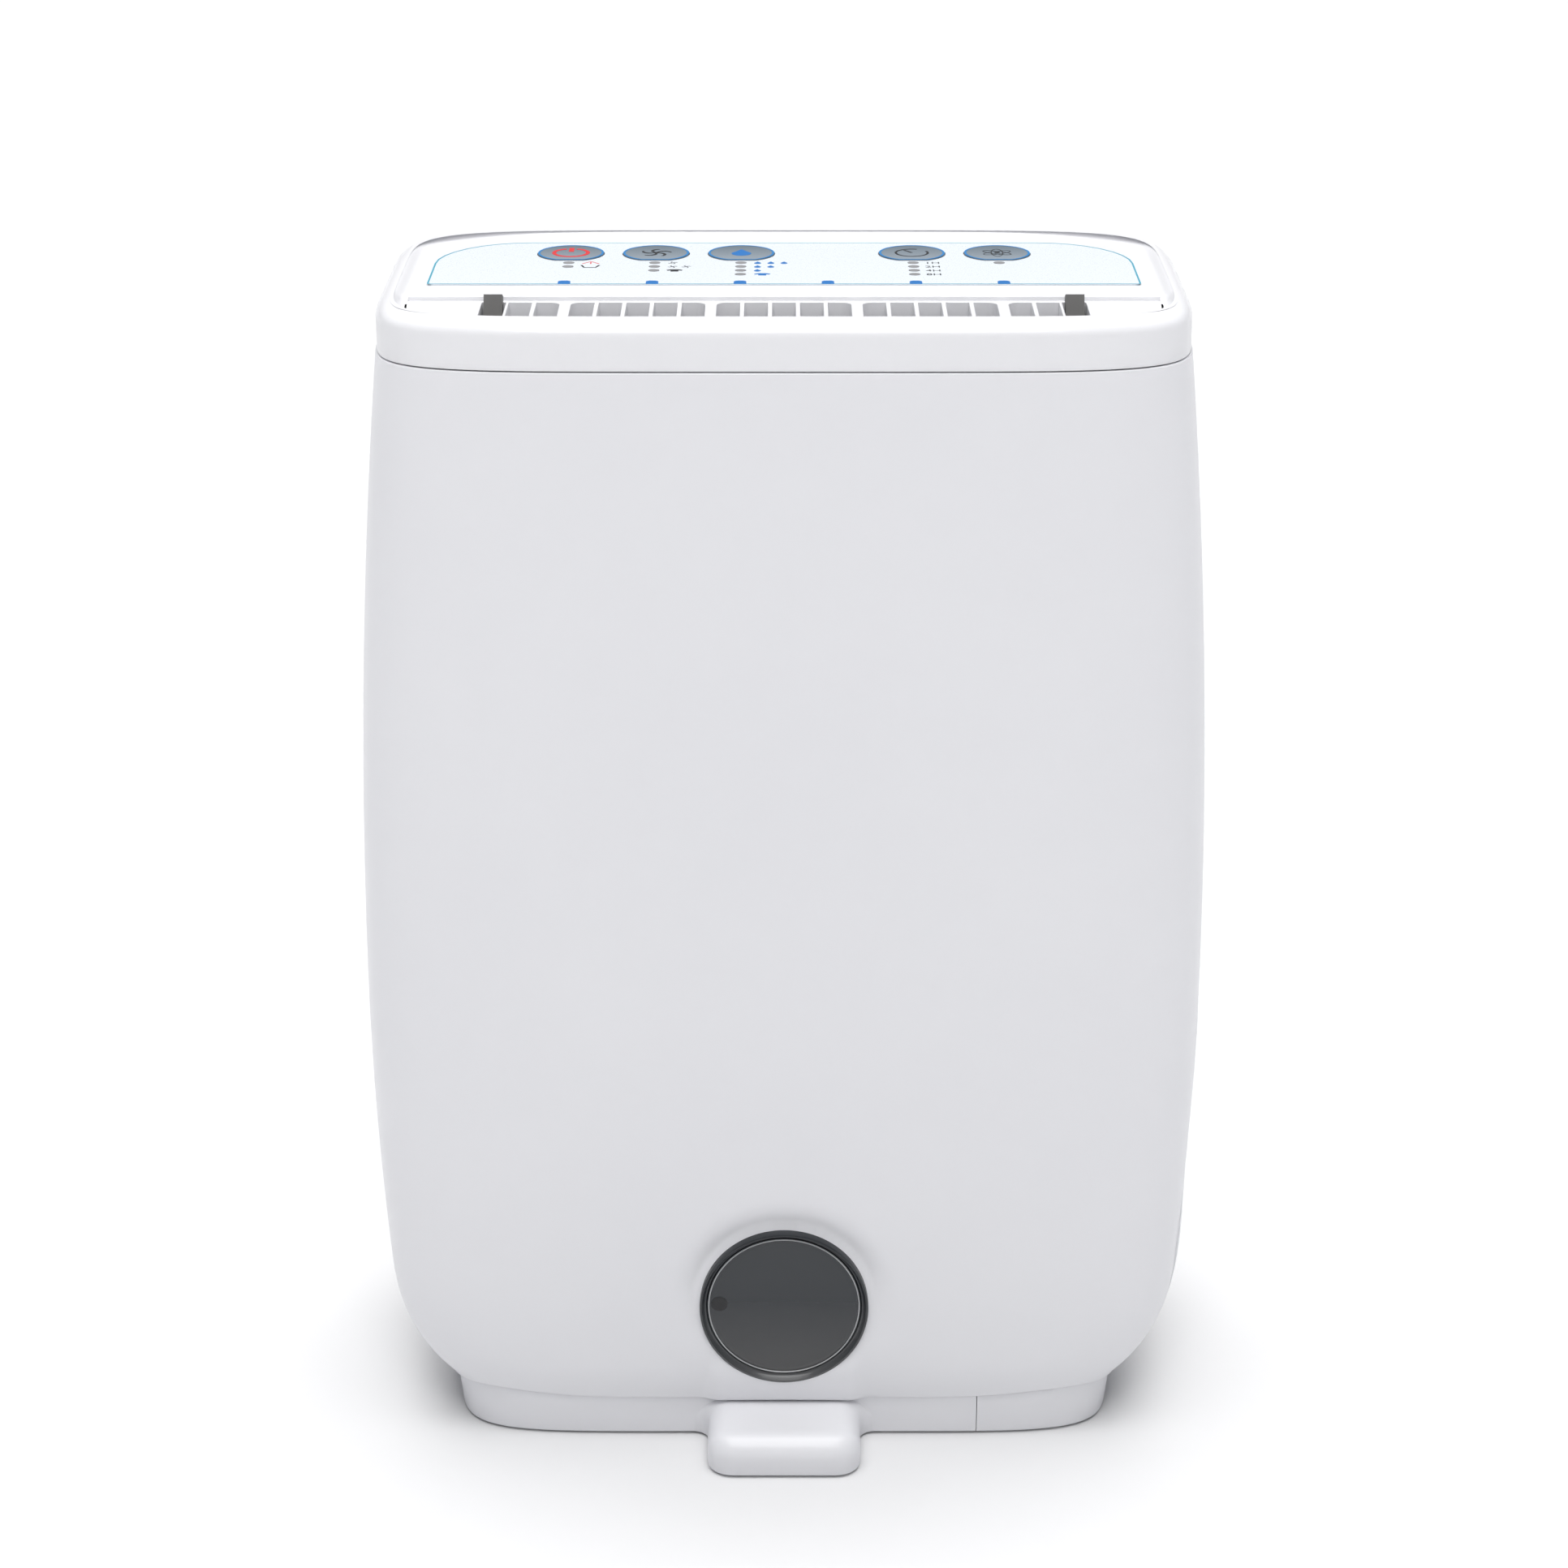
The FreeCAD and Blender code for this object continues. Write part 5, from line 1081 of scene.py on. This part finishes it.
def panel_tabs():
    """Small blue tabs along the panel's front edge, one below each key's place."""
    root = PANEL_LOW.y + OUTLINE_INSET
    corner_x = TAB_HALF - TAB_CORNER
    for i in range(TABS):
        x = (i - (TABS - 1) / 2) * KEY_PITCH
        tab = [(x + TAB_HALF, root - TAB_LAP)] + arc(x + corner_x, root + TAB_DEPTH, TAB_CORNER, 0, 90, 8)
        tab += arc(x - corner_x, root + TAB_DEPTH, TAB_CORNER, 90, 180, 8) + [(x - TAB_HALF, root - TAB_LAP)]
        patch("panel_tab_%d" % i, tab, PANEL_TOP + 0.5 * PRINT, "blue", "casing")


def key_rims():
    for name in KEYS:
        rim = key_loop(name, -KEY_RIM_INSET)
        ribbon("key_rim_" + name, rim, KEY_RIM, key_centre(name)[2], "rim", "key_" + name, closed=True,
               slot_name="button_film")


def icon_power():
    x, y, z = key_centre("power")
    ribbon("icon_power_ring", arc(x, y, POWER_RADIUS, 108, 432, 40), POWER_LINE, z, "red", "key_power",
           slot_name="button_film")
    bar = [(x, y + end) for end in POWER_BAR]
    ribbon("icon_power_bar", bar, POWER_BAR_WIDTH, z, "red", "key_power", slot_name="button_film")


def swirl(name, cx, cy, size, z, look, body, blades, slot_name):
    """A fan: curved tapered blades turned about the middle."""
    blade = arc(0.5 * size, 0.0, 0.5 * size, 175, 20, 14)
    blade += arc(0.52 * size, -0.12 * size, 0.42 * size, 25, 170, 14)
    for k in range(blades):
        patch("%s_%d" % (name, k), turned(blade, 360.0 / blades * k, cx, cy), z, look, body, slot_name)


def icon_fan():
    x, y, z = key_centre("fan")
    swirl("icon_fan", x, y, FAN_SIGN, z, "ink", "key_fan", FAN_BLADES, "button_film")


def drop_loop(cx, cy, size):
    """A water drop: round below, drawn up to a point."""
    loop = arc(cx, cy - 0.25 * size, 0.75 * size, -200, 20, 30)
    return loop + [(cx + 0.42 * size, cy + 0.42 * size), (cx, cy + 1.15 * size),
                   (cx - 0.42 * size, cy + 0.42 * size)]


def icon_drop():
    x, y, z = key_centre("humidity")
    patch("icon_drop", drop_loop(x, y, DROP_SIGN), z, "blue", "key_humidity", "button_film")


def icon_clock():
    x, y, z = key_centre("timer")
    hand = [(x, y), (x + CLOCK_HAND[0], y + CLOCK_HAND[1])]
    ribbon("icon_clock_ring", arc(x, y, CLOCK_RADIUS, 70, 385, 40), CLOCK_LINE, z, "ink", "key_timer",
           slot_name="button_film")
    ribbon("icon_clock_hand", hand, CLOCK_LINE, z, "ink", "key_timer", slot_name="button_film")


def icon_atom():
    """Three crossed orbits, each a hair above the last, round a core."""
    x, y, z = key_centre("ioniser")
    orbit = oval(0.0, 0.0, ATOM_LONG, ATOM_SHORT, 40)
    for k in range(ORBITS):
        loop = turned(orbit, 180.0 / ORBITS * k + 30.0, x, y)
        ribbon("icon_atom_%d" % k, loop, ATOM_LINE, z + k * 0.2 * PRINT, "ink", "key_ioniser", closed=True,
               slot_name="button_film")
    patch("icon_atom_core", arc(x, y, ATOM_CORE, 0, 345, 23), z + PRINT, "ink", "key_ioniser", "button_film")


def light_y(index):
    return LIGHT_FIRST_Y - index * LIGHT_PITCH


def lights():
    """Oval lenses over the indicator lights."""
    for name in KEYS:
        x = key_centre(name)[0]
        for i in range(KEY_LIGHTS[name]):
            loop = oval(x, light_y(i), LIGHT_HALF_WIDTH, LIGHT_HALF_DEPTH, 32)
            lens = plate("light_%s_%d" % (name, i), [loop], PANEL_HIGH.z + LIGHT_PROUD, LIGHT_THICK,
                         LIGHT_EDGE, "dot")
            assign(lens, "casing", "indicator")


def tank_marks():
    """A roof and line for a seated tank, and a cup for a full one."""
    x = key_centre("power")[0] + TANK_MARK_X
    ribbon("mark_tank_roof", around(x, light_y(0), TANK_ROOF), THIN_MARK_LINE, PANEL_TOP, "red", "casing")
    ribbon("mark_tank_line", around(x, light_y(0), TANK_LINE), THIN_MARK_LINE, PANEL_TOP, "red", "casing")
    ribbon("mark_tank_cup", around(x, light_y(1), TANK_CUP), THICK_MARK_LINE, PANEL_TOP, "ink", "casing")


def fan_marks():
    """One fan for low, two for high, and a shirt for drying laundry."""
    x = key_centre("fan")[0] + FAN_MARK_X
    for row, count in enumerate((1, 2)):
        for k in range(count):
            swirl("mark_fan_%d_%d" % (row, k), x + k * FAN_MARK_PITCH, light_y(row), FAN_MARK, PANEL_TOP,
                  "ink", "casing", FAN_MARK_BLADES, "overlay_film")
    shirt = around(x + FAN_SHIRT_SHIFT, light_y(2), SHIRT)
    patch("mark_laundry_fan", shirt, PANEL_TOP, "ink", "casing")


def drop_marks():
    """Three, two and one drops for how dry the air is kept, and a shirt for drying laundry."""
    x = key_centre("humidity")[0] + DROP_MARK_X
    for row, count in enumerate((3, 2, 1)):
        for k in range(count):
            drop = drop_loop(x + k * DROP_MARK_PITCH, light_y(row), DROP_MARK)
            patch("mark_drop_%d_%d" % (row, k), drop, PANEL_TOP, "blue", "casing")
    shirt = around(x + DRY_SHIRT_SHIFT, light_y(3), SHIRT)
    patch("mark_laundry_dry", shirt, PANEL_TOP, "blue", "casing")


def hour_marks():
    x = key_centre("timer")[0] + HOUR_MARK_X
    for row, hours in enumerate(HOURS):
        label("mark_hours_%d" % row, hours, x, light_y(row) - HOUR_DROP, HOUR_HEIGHT)


def label(name, words, x, y, size):
    """Printed characters, stretched sideways, as a thin mesh."""
    curve = bpy.data.curves.new(name, "FONT")
    curve.body = words
    curve.size = size
    curve.extrude = PRINT / 2
    maker = link(bpy.data.objects.new(name + "_maker", curve))
    graph = bpy.context.evaluated_depsgraph_get()
    data = bpy.data.meshes.new_from_object(maker.evaluated_get(graph))
    bpy.data.objects.remove(maker)
    for vertex in data.vertices:
        wide_x = vertex.co.x * HOUR_STRETCH + x
        vertex.co = Vector((wide_x, vertex.co.y + y, vertex.co.z + PANEL_TOP - PRINT / 2))
    obj = link(bpy.data.objects.new(name, data))
    data.materials.clear()
    data.materials.append(M["ink"])
    assign(obj, "casing", "overlay_film")


# ------------------------------------------------------------------ floor, light and camera


def floor():
    mat = surface("floor_pale", (0.76, 0.76, 0.765), (0.755, 0.755, 0.76), 0.85, 0.05, 60.0, 0.00005,
                  mottle=2.0)
    data = bpy.data.meshes.new("floor")
    half = FLOOR_HALF
    data.from_pydata([(-half, -half, 0), (half, -half, 0), (half, half, 0), (-half, half, 0)], [],
                     [(0, 1, 2, 3)])
    data.materials.append(mat)
    link(bpy.data.objects.new("floor", data))


def surround():
    """An overcast surround, dimmer and bluer at the sides."""
    world = bpy.data.worlds.new("studio")
    world.use_nodes = True
    tree = world.node_tree
    direction = tree.nodes.new("ShaderNodeTexCoord")
    split = tree.nodes.new("ShaderNodeSeparateXYZ")
    tree.links.new(direction.outputs["Generated"], split.inputs["Vector"])
    sideways = tree.nodes.new("ShaderNodeMath")
    sideways.operation = "ABSOLUTE"
    tree.links.new(split.outputs["X"], sideways.inputs[0])
    shades = tree.nodes.new("ShaderNodeValToRGB")
    shades.color_ramp.elements[0].position = WORLD_PALE_TO
    shades.color_ramp.elements[0].color = (1.0, 1.0, 1.0, 1.0)
    shades.color_ramp.elements[1].position = WORLD_SHADE_FROM
    shades.color_ramp.elements[1].color = WORLD_SHADE
    tree.links.new(sideways.outputs["Value"], shades.inputs["Fac"])
    back = tree.nodes["Background"]
    tree.links.new(shades.outputs["Color"], back.inputs["Color"])
    back.inputs["Strength"].default_value = WORLD_STRENGTH
    bpy.context.scene.world = world


def overhead():
    """A very wide soft light from above and a little behind."""
    data = bpy.data.lights.new("overhead", "SUN")
    data.energy = OVERHEAD_STRENGTH
    data.angle = math.radians(OVERHEAD_SPREAD)
    lamp = link(bpy.data.objects.new("overhead", data))
    lamp.rotation_euler = (math.radians(OVERHEAD_LEAN), 0.0, 0.0)


def softbox():
    """A soft light above the camera."""
    data = bpy.data.lights.new("softbox", "AREA")
    data.shape = "RECTANGLE"
    data.size, data.size_y = SOFTBOX_SIZE
    data.energy = SOFTBOX_POWER
    lamp = link(bpy.data.objects.new("softbox", data))
    lamp.location = SOFTBOX_PLACE
    lamp.rotation_euler = (SOFTBOX_AIM - SOFTBOX_PLACE).to_track_quat("-Z", "Y").to_euler()


def camera():
    data = bpy.data.cameras.new("camera")
    data.sensor_width = SENSOR_WIDTH
    data.lens = LENS_LENGTH
    pitch = math.radians(CAMERA_PITCH)
    away = Vector((0.0, -math.cos(pitch), math.sin(pitch)))
    obj = link(bpy.data.objects.new("camera", data))
    obj.location = CAMERA_AIM + away * CAMERA_DISTANCE
    obj.rotation_euler = (math.pi / 2 - pitch, 0.0, 0.0)
    bpy.context.scene.camera = obj


def main():
    bpy.context.scene.view_settings.view_transform = "Standard"
    for step in (camera, surround, overhead, softbox, floor, dress_nodes, front_shell, base, top_ring,
                 deck_plate, outlet, window_rim, window_lens, window_line, window_stud, panel_outline,
                 panel_tabs, key_rims, icon_power, icon_fan, icon_drop, icon_clock, icon_atom, lights,
                 tank_marks, fan_marks, drop_marks, hour_marks):
        step()


main()
